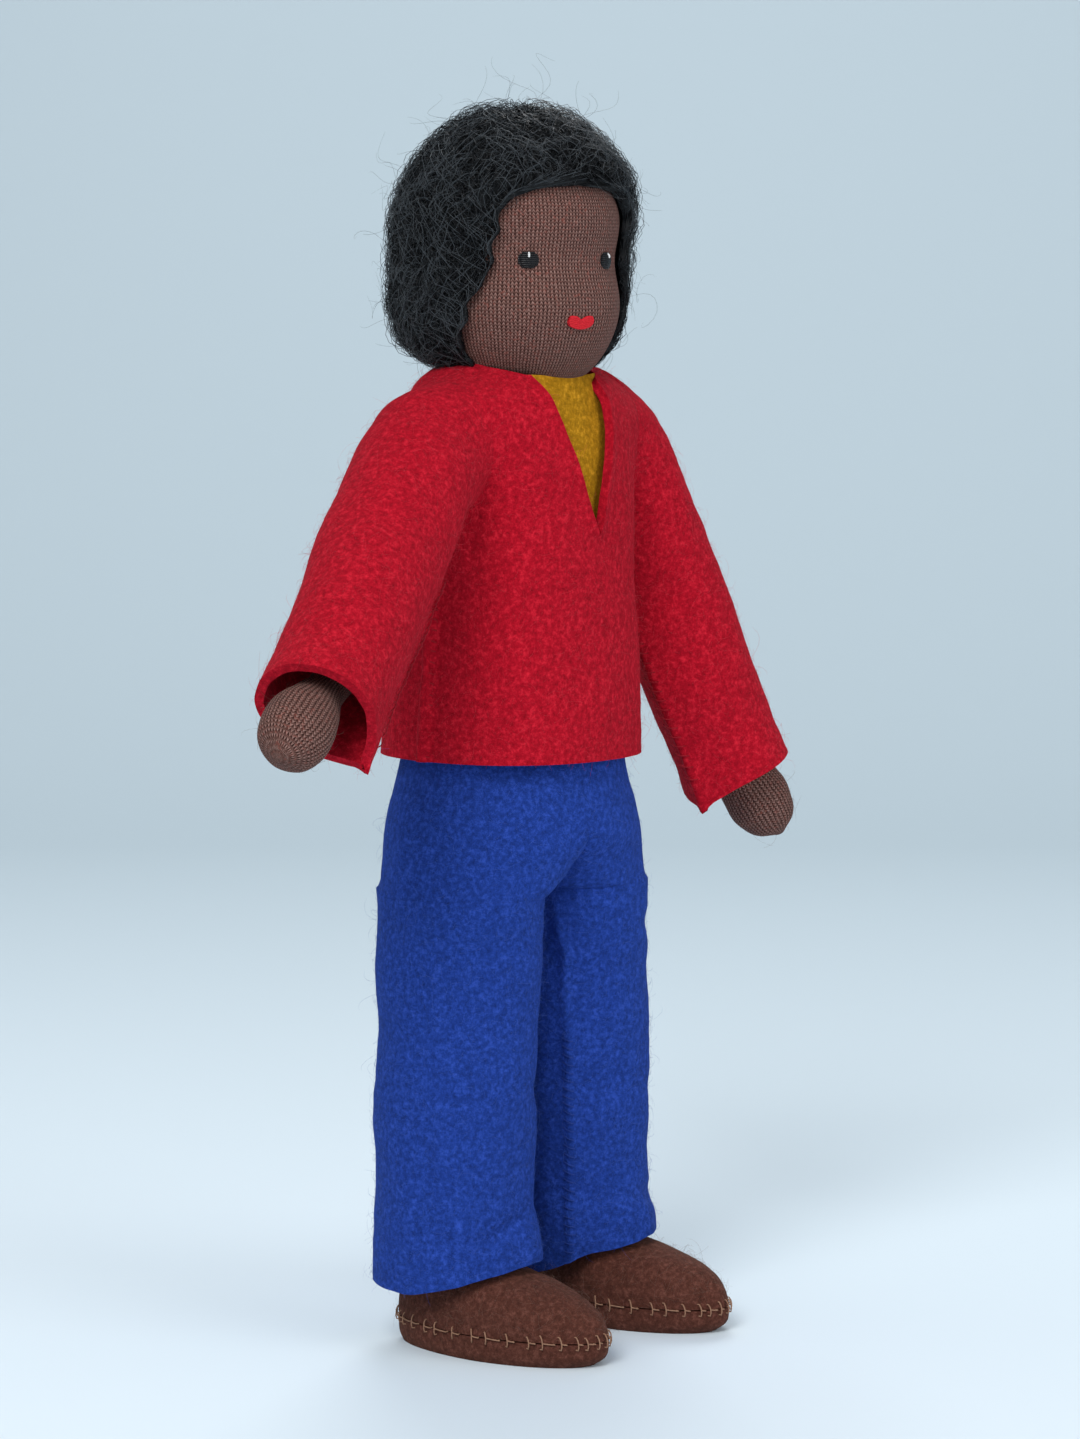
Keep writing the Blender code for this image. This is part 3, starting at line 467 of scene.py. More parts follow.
def scaled(tree, vector, scale):
    node = tree.nodes.new("ShaderNodeMapping")
    node.inputs["Scale"].default_value = scale
    tree.links.new(vector, node.inputs["Vector"])
    return node.outputs["Vector"]


def felt_material(name, colour, dark_share, light_share, sheen_tint, sheen=0.05):
    """Pressed wool: mottled colour, long crossing fibres and a soft uneven face."""
    material, tree, shader, vector = new_material(name, 0.97, sheen, sheen_tint)
    shader.inputs["Specular IOR Level"].default_value = 0.06
    dark = tuple(dark_share * c for c in colour)
    light = tuple(min(1.0, light_share * c + 0.01) for c in colour)
    mottle = noise_node(tree, vector, 1500.0, 6.0, 0.78)
    base = ramp_node(tree, mottle, [(0.34, dark), (0.51, colour), (0.66, light)])
    hairs = []
    for scale in ((14000, 2200, 4400), (2500, 13500, 3600), (4000, 2700, 14500)):
        hairs.append(noise_node(tree, scaled(tree, vector, scale), 1.0, 3.0, 0.7, 1.2))
    crossing = math_node(tree, "MAXIMUM", math_node(tree, "MAXIMUM", hairs[0], hairs[1]), hairs[2])
    strokes = ramp_node(tree, crossing, [(0.52, (0, 0, 0)), (0.74, (1, 1, 1))])
    shown = mix_colour(tree, math_node(tree, "MULTIPLY", strokes, 0.5), base, light)
    tree.links.new(shown, shader.inputs["Base Color"])
    coarse = bump_node(tree, noise_node(tree, vector, 1400.0, 4.0, 0.6), 0.00022, 0.5)
    fine = bump_node(tree, crossing, 0.00012, 0.6, coarse)
    tree.links.new(fine, shader.inputs["Normal"])
    return material


def knit_material(name, colour, dark, light):
    """Fine marled jersey, its wales and stitches laid out in the piece's UV map, one unit to a wale."""
    material, tree, shader, vector = new_material(name, 0.97, 0.04, (0.9, 0.75, 0.7))
    shader.inputs["Specular IOR Level"].default_value = 0.06
    uv = tree.nodes.new("ShaderNodeUVMap")
    uv.uv_map = "wales"
    split = tree.nodes.new("ShaderNodeSeparateXYZ")
    tree.links.new(uv.outputs["UV"], split.inputs["Vector"])
    wobble = noise_node(tree, vector, 420.0, 3.0)
    across = math_node(tree, "ADD", split.outputs["X"], math_node(tree, "MULTIPLY", wobble, 1.1))
    half_turns = math_node(tree, "MULTIPLY", across, math.pi)
    wale = math_node(tree, "ABSOLUTE", math_node(tree, "SINE", half_turns, 0), 0)
    lean = math_node(tree, "ABSOLUTE", math_node(tree, "SUBTRACT", math_node(tree, "FRACT", across, 0), 0.5), 0)
    along = math_node(tree, "ADD", split.outputs["Y"], math_node(tree, "MULTIPLY", lean, 1.6))
    loop = math_node(tree, "SINE", math_node(tree, "MULTIPLY", along, 2 * math.pi), 0)
    rough = noise_node(tree, vector, 4200.0, 5.0, 0.75)
    stitches = math_node(tree, "MULTIPLY", loop, 0.14)
    height = math_node(tree, "ADD", math_node(tree, "MULTIPLY", wale, 0.30), stitches)
    height = math_node(tree, "ADD", height, math_node(tree, "MULTIPLY", rough, 0.70))
    # The colour follows the stitch height and the marl noise together: the gaps between wales and stitches are painted
    # darker as shade, and the raised yarn lighter as painted light; the noise share is the real marl.
    base = ramp_node(tree, height, [(0.34, dark), (0.57, colour), (0.84, light)])
    red = noise_node(tree, vector, 2600.0, 2.0, 0.5)
    flecks = ramp_node(tree, red, [(0.56, (0, 0, 0)), (0.70, (1, 1, 1))])
    warm = mix_colour(tree, math_node(tree, "MULTIPLY", flecks, 0.45), base, (0.24, 0.066, 0.050))
    pale = noise_node(tree, vector, 3300.0, 2.0, 0.5, 0.6)
    specks = ramp_node(tree, pale, [(0.60, (0, 0, 0)), (0.72, (1, 1, 1))])
    shown = mix_colour(tree, math_node(tree, "MULTIPLY", specks, 0.35), warm, light)
    tree.links.new(shown, shader.inputs["Base Color"])
    tree.links.new(bump_node(tree, height, 0.00014, 0.7), shader.inputs["Normal"])
    return material


def thread_material(name, colour, light, roughness=0.55, sheen=0.2):
    """Twisted thread or yarn: streaked along its fibres."""
    material, tree, shader, vector = new_material(name, roughness, sheen)
    streak = noise_node(tree, vector, 6500.0, 3.0, 0.7, 1.5)
    tree.links.new(ramp_node(tree, streak, [(0.3, colour), (0.75, light)]), shader.inputs["Base Color"])
    tree.links.new(bump_node(tree, streak, 0.00006, 0.6), shader.inputs["Normal"])
    return material


CRIMSON = felt_material("crimson_felt", (0.34, 0.003, 0.013), 0.55, 1.7, (1.0, 0.2, 0.25))
ROYAL = felt_material("royal_felt", (0.011, 0.037, 0.225), 0.50, 1.8, (0.3, 0.5, 1.0))
BROWN = felt_material("brown_felt", (0.076, 0.025, 0.017), 0.50, 1.9, (0.9, 0.65, 0.5))
SKIN = knit_material("brown_knit", (0.104, 0.048, 0.039), (0.026, 0.011, 0.009), (0.30, 0.175, 0.150))
MUSTARD = felt_material("mustard_felt", (0.32, 0.148, 0.004), 0.55, 1.8, (1.0, 0.8, 0.2))
MOHAIR = thread_material("black_mohair", (0.0012, 0.0016, 0.0022), (0.006, 0.0075, 0.010), 0.26, 0.0)
HAIR_MAT = thread_material("mohair_mat", (0.0010, 0.0013, 0.0018), (0.004, 0.005, 0.0065), 0.95, 0.0)
# Grey, far lighter than the black mohair: the loose hairs are real, and their lighter colour is a painted highlight,
# used for the top curl layer too.
WISPS_PAINTED_HIGHLIGHT = thread_material("mohair_wisps", (0.02, 0.026, 0.032), (0.06, 0.07, 0.08), 0.4, 0.1)
CRIMSON_HAIRS = thread_material("crimson_fibres", (0.40, 0.005, 0.018), (0.62, 0.020, 0.045), 0.8, 0.1)
ROYAL_HAIRS = thread_material("royal_fibres", (0.016, 0.055, 0.30), (0.04, 0.11, 0.42), 0.8, 0.1)
BROWN_HAIRS = thread_material("brown_fibres", (0.10, 0.045, 0.03), (0.20, 0.10, 0.07), 0.8, 0.1)
CRIMSON_THREAD = thread_material("crimson_thread", (0.24, 0.003, 0.010), (0.38, 0.006, 0.018), 0.8, 0.0)
ROYAL_THREAD = thread_material("royal_thread", (0.009, 0.028, 0.17), (0.014, 0.045, 0.26), 0.8, 0.0)
TAN_THREAD = thread_material("tan_thread", (0.20, 0.095, 0.055), (0.38, 0.22, 0.14), 0.7, 0.0)
BLACK_THREAD = thread_material("black_thread", (0.002, 0.002, 0.003), (0.008, 0.008, 0.010), 0.30, 0.0)
# White for the eyes' glint, drawn as a thread: a painted highlight.
EYE_GLINT_WHITE = thread_material("painted_eye_glint", (0.55, 0.55, 0.55), (0.85, 0.85, 0.85), 0.4)
RED_THREAD = thread_material("red_thread", (0.42, 0.003, 0.010), (0.68, 0.010, 0.022), 0.6, 0.0)


def wales(obj, columns_u, rows_v):
    """Writes the wale and stitch counts of a grid's points as its UV map."""
    layer = obj.data.uv_layers.new(name="wales")
    indices = np.empty(len(obj.data.loops), np.int32)
    obj.data.loops.foreach_get("vertex_index", indices)
    rows, columns = columns_u.shape
    u = columns_u.reshape(-1)[indices % (rows * columns)]
    v = rows_v.reshape(-1)[indices % (rows * columns)]
    layer.data.foreach_set("uv", np.column_stack([u, v]).astype(np.float32).ravel())


# Pullover
def sweater_half_sizes(heights, inset=0.0):
    length = HEM_DROP + WAIST_TO_SHOULDER + COLLAR_RISE
    halves = spline(SWEATER_SHARES, (heights + HEM_DROP) / length)
    return halves[:, 0] * HEM_HALF[0] - inset, halves[:, 1] * HEM_HALF[1] - inset


def squarish(angles, power=2.3):
    """A unit outline a little squarer than a circle."""
    c, s = np.cos(angles), np.sin(angles)
    size = (np.abs(c) ** power + np.abs(s) ** power) ** (-1 / power)
    return c * size, s * size


def sweater_grid():
    top = WAIST_TO_SHOULDER + COLLAR_RISE
    heights = np.linspace(-HEM_DROP, top, 100)
    half_x, half_y = sweater_half_sizes(heights)
    columns = 192
    around = np.linspace(0.0, 1.0, columns)
    slit_bottom = top - SLIT_DEPTH
    share = (heights - slit_bottom) / SLIT_DEPTH
    gap = spline(SLIT_SHARES, np.clip(share, 0, 1)) * (share > 0)[:, None]
    right, left = (np.arcsin(np.clip(gap[:, column] / half_x, 0, 0.95)) for column in (0, 1))
    angles = -np.pi / 2 + left[:, None] + around[None] * (2 * np.pi - (left + right)[:, None])
    x, y = squarish(angles)
    front = np.clip(-np.sin(angles), 0, 1) ** 1.5
    sunk = COLLAR_DIP * front * np.clip((heights - slit_bottom) / (top - slit_bottom), 0, 1)[:, None] ** 2
    grid = np.stack([x * half_x[:, None], y * half_y[:, None], heights[:, None] - sunk], axis=2)
    ridge = bump(np.abs(np.cos(angles)), 1.0, 0.0018) * step(heights, 22 * MM, 14 * MM)[:, None]
    grid[:, :, 0] += np.sign(grid[:, :, 0]) * 1.0 * MM * ridge
    edge = bump(np.minimum(around, 1 - around), 0.0, 0.012)[None] * (share > 0)[:, None]
    grid[:, :, 1] -= 0.45 * MM * edge
    chest_fold = bump(np.degrees(angles % (2 * np.pi)), 209, 10) + bump(np.degrees(angles % (2 * np.pi)), 331, 10)
    grid[:, :, 1] += 1.3 * MM * chest_fold * bump(heights, 21 * MM, 8 * MM)[:, None]
    return grid, angles


def inside_frame(at, points):
    origin, axes = at
    return (np.asarray(points, float) - origin) @ axes


def off_body(points):
    """How far points stand outside the pullover's trunk, roughly."""
    spots = inside_frame(FRAMES["chest"], points)
    half_x, half_y = sweater_half_sizes(spots[..., 2].ravel())
    level = np.hypot(spots[..., 0].ravel() / half_x, spots[..., 1].ravel() / half_y)
    return ((level - 1.0) * half_y).reshape(spots.shape[:-1])


def sleeve_length(side_name):
    stops = [FRAMES[f"{part}_{side_name}"][0] for part in ("upper_arm", "forearm", "hand")]
    reach = sum(np.linalg.norm(high - low) for high, low in zip(stops, stops[1:]))
    return reach + CUFF_PAST_WRIST


def off_sleeve(points, side_name, side):
    """How far points stand outside a sleeve's upper end, roughly."""
    spots = inside_frame(FRAMES[f"upper_arm_{side_name}"], points)
    shares = -spots[..., 2] / sleeve_length(side_name)
    table = spline(SLEEVE_SHARES, shares.ravel()).reshape(*shares.shape, 3) * SLEEVE_HALF
    level = np.hypot((spots[..., 0] + side * table[..., 2]) / table[..., 0], spots[..., 1] / table[..., 1])
    beyond = np.maximum(-0.20 - shares, 0.0) * sleeve_length(side_name)
    return (level - 1.0) * table[..., 1] + 2 * beyond


def fillet(points, normals, off):
    """Raises a surface beside its join with another, most at the top of the shoulder."""
    heights = inside_frame(FRAMES["chest"], points)[..., 2]
    reach = (1.5 + 4.0 * step(heights, WAIST_TO_SHOULDER - 9 * MM, WAIST_TO_SHOULDER + 3 * MM)) * MM
    near = np.clip(1.0 - np.abs(off) / reach, 0.0, 1.0)
    return points + normals * (reach / 4 * near**2)[..., None]


def build_pullover():
    at = FRAMES["chest"]
    grid, _ = sweater_grid()
    points = world(at, grid)
    normals = outward(points)
    for side_name, side in SIDES:
        points = fillet(points, normals, off_sleeve(points, side_name, side))
    points += normals * (0.35 * MM * lumps(points, 9 * MM, 3.0) + 0.10 * MM * lumps(points, 2.2 * MM, 9.0))[..., None]
    rows, columns = points.shape[:2]
    faces = grid_faces(rows, columns, wrap=False)
    closed_rows = int(np.argmax(np.linalg.norm(grid[:, 0] - grid[:, -1], axis=1) > 0.02 * MM))
    for row in range(closed_rows - 1):
        faces.append((row * columns + columns - 1, row * columns, (row + 1) * columns, (row + 1) * columns + columns - 1))
    body = mesh_object("pullover_body", points.reshape(-1, 3), faces, CRIMSON)
    thicken(body, FELT)
    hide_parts("sweater_body")
    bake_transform(body)
    hairs = fibres("pullover_body_fibres", points, 6500, CRIMSON_HAIRS, wrap=False)
    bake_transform(hairs)
    build_side_seams(at)
    return points


def build_side_seams(at):
    """Overcast stitches down each side of the pullover."""
    heights = np.arange(-HEM_DROP + 0.8 * MM, WAIST_TO_SHOULDER - 13 * MM, 1.25 * MM)
    half_x, _ = sweater_half_sizes(heights)
    paths = []
    for sign in (-1.0, 1.0):
        for height, half in zip(heights, half_x):
            lean = RANDOM.uniform(0.2, 0.6) * MM
            arc = np.linspace(-1.0, 1.0, 9)
            out = half + 0.75 * MM - 0.55 * MM * arc**2
            paths.append(np.column_stack([sign * out, 0.95 * MM * arc, height + lean * arc]))
    rises = np.linspace(-HEM_DROP + 0.2 * MM, WAIST_TO_SHOULDER - 14 * MM, 40)
    outs, _ = sweater_half_sizes(rises)
    edges = [np.column_stack([sign * (outs + 0.75 * MM), 0.1 * MM * np.sin(rises / MM), rises]) for sign in (-1.0, 1.0)]
    ridge = tubes("pullover_side_edges", world(at, np.array(edges)), 0.42 * MM, CRIMSON, 8)
    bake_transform(ridge)
    stitches = tubes("pullover_side_stitches", world(at, np.array(paths)), 0.08 * MM, CRIMSON_THREAD, 6)
    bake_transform(stitches)


def build_undershirt():
    at = FRAMES["chest"]
    heights = np.linspace(14 * MM, WAIST_TO_SHOULDER + COLLAR_RISE - 1.2 * MM, 56)
    half_x, half_y = sweater_half_sizes(heights, FELT + 0.45 * MM)
    angles = np.linspace(0, 2 * np.pi, 128, endpoint=False)
    x, y = squarish(angles)
    grid = np.stack(
        [x[None] * half_x[:, None], y[None] * half_y[:, None], np.broadcast_to(heights[:, None], (56, 128))],
        axis=2,
    )
    points = world(at, grid)
    points += outward(points) * (0.12 * MM * lumps(points, 3 * MM, 5.0))[..., None]
    shirt = grid_object("undershirt_felt", points, MUSTARD)
    thicken(shirt, 0.6 * MM)
    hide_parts("undershirt")
    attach(shirt, "chest")


def build_sleeve(side_name, side):
    upper, fore = FRAMES[f"upper_arm_{side_name}"], FRAMES[f"forearm_{side_name}"]
    length = sleeve_length(side_name)
    rows, columns = 130, 96
    shares = np.linspace(1.0, -0.20, rows)
    table = spline(SLEEVE_SHARES, shares)
    angles = np.linspace(0, 2 * np.pi, columns, endpoint=False)
    under_angle = 0.0 if side < 0 else np.pi
    off = np.remainder(angles - under_angle + np.pi, 2 * np.pi) - np.pi
    seam = (0.8 * bump(off, 0.0, 0.11) + bump(off, 0.0, 0.48))[None] * step(shares, 0.1, 0.45)[:, None]
    x = np.cos(angles)[None] * table[:, :1] * SLEEVE_HALF - side * table[:, 2:3] * SLEEVE_HALF
    y = np.sin(angles)[None] * table[:, 1:2] * SLEEVE_HALF
    z = np.broadcast_to(-shares[:, None] * length, x.shape).copy()
    x = x + np.where(under_angle == 0.0, 1.0, -1.0) * 1.2 * MM * seam
    z = z - 0.9 * MM * seam * step(shares, 0.85, 1.0)[:, None]
    grid = np.stack([x, y, z], axis=2)
    points = world(upper, grid)
    normals = outward(points)
    points = fillet(points, normals, off_body(points))
    crease = bump(shares, 0.44, 0.05)[:, None] * bump(off, 0.3, 0.9)[None] * 0.5
    crease = crease + bump(shares, 0.16, 0.05)[:, None] * bump(np.abs(off), 0.5, 0.5)[None] * 0.6
    points -= normals * (crease * MM)[..., None] * step(shares, -0.05, 0.05)[:, None, None]
    points += normals * (0.35 * MM * lumps(points, 8 * MM, 13.0) + 0.10 * MM * lumps(points, 2.2 * MM, 19.0))[..., None]
    sleeve = grid_object(f"sleeve_{side_name}", points, CRIMSON)
    thicken(sleeve, FELT)
    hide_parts(f"sleeve_upper_{side_name}", f"sleeve_cuff_{side_name}")
    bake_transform(sleeve)
    hairs = fibres(f"sleeve_{side_name}_fibres", points[: int(rows * 0.86)], 3400, CRIMSON_HAIRS)
    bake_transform(hairs)
    column = int(np.argmin(np.abs(off)))
    picked = [row for row in range(9, int(rows * 0.55), 3)]
    paths = []
    for row in picked:
        centre, out = points[row, column], normals[row, column]
        round_way = unit(points[row, (column + 1) % columns] - points[row, column - 1])
        down = unit(points[row, column] - points[row + 1, column])
        arc = np.linspace(-1.0, 1.0, 9)[:, None]
        paths.append(centre + out * (0.22 - 0.5 * arc**2) * MM + round_way * arc * 0.9 * MM + down * arc * 0.35 * MM)
    stitches = tubes(f"sleeve_{side_name}_stitches", np.array(paths), 0.08 * MM, CRIMSON_THREAD, 6)
    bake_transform(stitches)


# Trousers
def seat_half_sizes(heights):
    share = np.clip((heights + CROTCH_DROP) / (TROUSER_RISE + CROTCH_DROP), 0, 1)
    wide = spline(SEAT_SHARES, share)[:, 0]
    half_x = WAIST_HALF[0] + wide * (SEAT_HALF[0] - WAIST_HALF[0])
    half_y = WAIST_HALF[1] + wide * (SEAT_HALF[1] - WAIST_HALF[1])
    return half_x, half_y * (1 - 0.04 * step(-heights, -5 * MM, 3 * MM))


def leg_lengths(side_name):
    stops = [FRAMES[f"{part}_{side_name}"][0] for part in ("thigh", "shin", "foot")]
    return [np.linalg.norm(high - low) for high, low in zip(stops, stops[1:])]


LEG_COLUMNS = 112


def leg_turns(side):
    """Turns round a leg, from its inner side: 0 is the outer side and a minus turn is in front."""
    turns = -np.pi + 2 * np.pi * np.arange(LEG_COLUMNS) / LEG_COLUMNS
    return side * turns


def leg_ring(side, heights, table):
    """Rings of a leg about its hip, in the pelvis's frame."""
    turns = leg_turns(side)
    half_x = np.minimum(table[:, :1] * LEG_HALF, HIP_OUT + 0.8 * MM * step(-heights, 3 * MM, 12 * MM)[:, None])
    x = side * (HIP_OUT + half_x * np.cos(turns)[None])
    y = table[:, 1:2] * LEG_HALF * np.sin(turns)[None]
    return np.stack([x, y, np.broadcast_to(heights[:, None], x.shape)], axis=2)


def seat_grid():
    """The seat as one closed surface, with the crotch as a seam that runs in from front and back."""
    steps = np.linspace(1.0, 0.0, 34)
    low = CROTCH_START - (CROTCH_START + CROTCH_DROP) * np.sin(steps * np.pi / 2)
    heights = np.concatenate([low, np.linspace(CROTCH_START, TROUSER_RISE, 22)[1:]])
    share = np.concatenate([np.cos(steps * np.pi / 2), np.ones(21)])[:, None, None]
    half_x, half_y = seat_half_sizes(heights)
    halves = []
    for side in (1.0, -1.0):
        turns = leg_turns(side)
        across = np.cos(turns / 2)[None] ** 2
        x = side * half_x[:, None] * across
        y = half_y[:, None] * np.sign(turns)[None] * np.sqrt(1 - across**2)
        seat = np.stack([x, y, np.broadcast_to(heights[:, None], x.shape)], axis=2)
        table = np.repeat(np.array([LEG_SHARES[0][1:]]), len(heights), axis=0)
        halves.append(share * seat + (1 - share) * leg_ring(side, heights, table))
    return heights, np.concatenate(halves, axis=1)


def leg_grid(side_name, side):
    """A leg from the crotch to its hem, which hangs lower behind, in world points."""
    thigh_length, shin_length = leg_lengths(side_name)
    length = thigh_length + shin_length - HEM_ABOVE_ANKLE
    heights = np.linspace(-length, -CROTCH_DROP, 130)
    table = spline(LEG_SHARES, (-heights - CROTCH_DROP) / (length - CROTCH_DROP))
    ring = leg_ring(side, heights, table)
    high = world(FRAMES["pelvis"], ring)
    own = ring - (side * HIP_OUT, 0, 0)
    low = world(FRAMES[f"thigh_{side_name}"], own)
    share = step(-heights, CROTCH_DROP, 12 * MM)[:, None, None]
    return heights, (1 - share) * high + share * low


def ruffle(points):
    return points + 0.45 * MM * shake(points, 9 * MM, 23.0) + 0.12 * MM * shake(points, 2.2 * MM, 29.0)


def build_seat():
    heights, grid = seat_grid()
    points = world(FRAMES["pelvis"], grid)
    normals = outward(points)
    turn = np.arctan2(grid[..., 0], -grid[..., 1])
    crease = 0.30 * bump(heights[:, None], 4.5 * MM, 1.3 * MM) * bump(turn, -0.5, 0.5)
    crease = crease + 0.35 * bump(heights[:, None], 0.5 * MM, 1.4 * MM) * bump(np.abs(turn), 0.35, 0.35)
    points = ruffle(points - normals * (crease * MM)[..., None])
    seat = grid_object("trousers_seat_felt", points, ROYAL)
    thicken(seat, FELT)
    hairs = fibres("trousers_seat_fibres", points, 1500, ROYAL_HAIRS)
    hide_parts("trousers_seat")
    for obj in (seat, hairs):
        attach(obj, "pelvis")


def leg_piece(name, points, count, joined, start, end, replaced=()):
    piece = grid_object(name, points, ROYAL)
    thicken(piece, FELT)
    if replaced:
        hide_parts(*replaced)
    hairs = fibres(f"{name}_fibres", points, count, ROYAL_HAIRS)
    for obj in (piece, hairs):
        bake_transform(obj)


def build_leg(side_name, side):
    heights, points = leg_grid(side_name, side)
    turns = leg_turns(side)[None]
    length = -heights[0]
    normals = outward(points)
    down = -heights[:, None]
    front = np.remainder(turns + np.pi / 2 + np.pi, 2 * np.pi) - np.pi
    fold = bump(front, -0.10, 0.50) * step(down, length - 12 * MM, length)
    away = step(down, CROTCH_DROP, CROTCH_DROP + 5 * MM)
    creases = (
        (9 * MM, 1.6 * MM, 0.7, 0.45, 0.45),
        (27 * MM, 2.2 * MM, -0.5, 0.60, 0.50),
        (31 * MM, 1.6 * MM, 1.0, 0.50, 0.40),
        (length - 5 * MM, 1.5 * MM, 0.25, 0.45, 0.75),
        (length - 8 * MM, 1.3 * MM, -0.9, 0.40, 0.45),
    )
    dent = np.zeros((len(heights), LEG_COLUMNS))
    for level, tall, middle, wide, deep in creases:
        slope = 2.2 * MM * (front - middle)
        dent += deep * bump(down - slope, level, tall) * bump(front, middle, wide)
    seam_turn = -2.62
    seam = bump(turns, seam_turn, 0.05) * away
    points += normals * ((1.5 * fold + 0.75 * seam - dent * away) * MM)[..., None]
    hem = step(down, length - 12 * MM, length)
    points[..., 2] += (1.0 * fold - 2.4 * step(np.abs(front), 0.6, 1.7) * hem) * MM
    points = ruffle(points)
    thigh_length, _ = leg_lengths(side_name)
    marks = [int(np.argmin(np.abs(heights + cut))) for cut in (9.5 * MM, thigh_length - 6 * MM)]
    hip_at = (FRAMES["pelvis"], side * HIP_OUT)
    thigh_at = (FRAMES[f"thigh_{side_name}"], 0.0)
    zones = (
        ("hip", marks[0], len(heights) - 1, ("pelvis", f"hip_{side_name}"), hip_at, ()),
        ("thigh", marks[1], marks[0], (f"hip_{side_name}", f"thigh_{side_name}"), thigh_at,
         (f"trouser_thigh_{side_name}",)),
        ("leg", 0, marks[1], (f"thigh_{side_name}", f"shin_{side_name}"), thigh_at,
         (f"trouser_shin_{side_name}",)),
    )
    for zone, low, high, joined, (at, x), replaced in zones:
        span = (heights[high], heights[low])
        if zone == "leg":
            span = (heights[high], -thigh_length - 6 * MM)
        ends = world(at, [(x, 0, level) for level in span])
        part = points[low : high + 1]
        leg_piece(f"trousers_{zone}_{side_name}", part, 30 * (high - low), joined, *ends, replaced)
    build_inseam(side_name, points, normals, int(np.argmin(np.abs(turns[0] - seam_turn))), marks)


def build_inseam(side_name, points, normals, column, marks):
    """Small overcast stitches over the seam inside a leg."""
    paths = []
    for row in range(4, marks[1] - 2, 3):
        spot, out = points[row, column], normals[row, column]
        round_way = unit(points[row, (column + 1) % LEG_COLUMNS] - points[row, column - 1])
        down = unit(points[row - 1, column] - points[row, column])
        arc = np.linspace(-1.0, 1.0, 9)[:, None]
        paths.append(spot + out * (0.16 - 0.42 * arc**2) * MM + round_way * arc * 0.7 * MM + down * arc * 0.25 * MM)
    stitches = tubes(f"trousers_stitches_{side_name}", np.array(paths), 0.08 * MM, ROYAL_THREAD, 6)
    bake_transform(stitches)


# Shoes
def shoe_outline(heights, table, columns=96):
    angles = np.linspace(0, 2 * np.pi, columns, endpoint=False)
    c, s = np.cos(angles), np.sin(angles)
    rings = []
    for height, (width, front_share, back_share) in zip(heights, table):
        front = front_share * (SHOE_LENGTH - HEEL_BEHIND_ANKLE)
        back = back_share * HEEL_BEHIND_ANKLE
        half_y, middle = (front + back) / 2, (back - front) / 2
        narrow = 1.0 - 0.10 * np.clip(s, 0, 1) - 0.05 * np.clip(-s, 0, 1) ** 3
        rings.append(
            np.column_stack([c * narrow * width * SHOE_HALF_WIDTH, middle + s * half_y, np.full(columns, height - ANKLE_HEIGHT)])
        )
    return np.array(rings)


def build_shoe(side_name, side):
    at = FRAMES[f"foot_{side_name}"]
    body = f"foot_{side_name}"
    base = SEAM_HEIGHT + 0.1 * MM
    shares = np.linspace(0, 1, 40)
    upper = shoe_outline(base + shares * (SHOE_TOP - base), spline(SHOE_UPPER_SHARES, shares))
    upper_points = world(at, upper)
    normals = outward(upper_points)
    edge = step(shares, 0.0, 0.12)[:, None]
    upper_points += normals * ((0.22 * MM * lumps(upper_points, 5 * MM, 31.0) + 0.08 * MM * lumps(upper_points, 1.6 * MM, 37.0)) * edge)[..., None]
    shoe = grid_object(f"shoe_upper_felt_{side_name}", upper_points, BROWN)
    thicken(shoe, FELT)
    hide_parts(f"shoe_upper_{side_name}", f"shoe_stuffing_{side_name}")
    shares = np.linspace(0, 1, 14)
    sole = shoe_outline(shares * (SEAM_HEIGHT - 0.1 * MM), np.repeat(spline(SHOE_SOLE_SHARES, shares), 3, axis=1))
    sole_points = world(at, sole)
    sole_piece = grid_object(f"shoe_sole_felt_{side_name}", sole_points, BROWN, cap_low=True, cap_high=True)
    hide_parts(f"shoe_sole_{side_name}")
    hairs = fibres(f"shoe_{side_name}_fibres", upper_points[:34], 700, BROWN_HAIRS, length=1.2 * MM)
    paths = []
    count = 36
    columns = upper.shape[1]
    for index in range(count):
        column = index * columns / count
        low_column = int(column) % columns
        out = unit([upper[0, low_column, 0], upper[0, low_column, 1] + 3 * MM, 0])
        rim = upper[0, low_column]
        tip = upper[0, int(column + columns / count * 0.55) % columns]
        slant = RANDOM.uniform(-0.15, 0.15) * MM
        top = upper[4, low_column] + out * 0.16 * MM + (0, 0, slant)
        bottom = rim + out * 0.30 * MM - (0, 0, 0.75 * MM)
        knot = rim + out * 0.36 * MM
        nxt = tip + out * 0.30 * MM - (0, 0, 0.1 * MM)
        paths.append([top - out * 0.3 * MM, top, (top + knot) / 2 + out * 0.08 * MM, knot, (knot + bottom) / 2 + out * 0.06 * MM, bottom, bottom - out * 0.4 * MM])
        paths.append([knot, (knot * 2 + nxt) / 3 + out * 0.05 * MM, (knot + nxt) / 2 + out * 0.06 * MM, nxt, nxt - out * 0.02 * MM, nxt - out * 0.2 * MM, nxt - out * 0.4 * MM])
    stitches = tubes(f"shoe_stitches_{side_name}", world(at, np.array(paths)), 0.085 * MM, TAN_THREAD, 6)
    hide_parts(f"shoe_stitching_{side_name}")
    for obj in (shoe, sole_piece, hairs):
        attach(obj, body)
    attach(stitches, body)


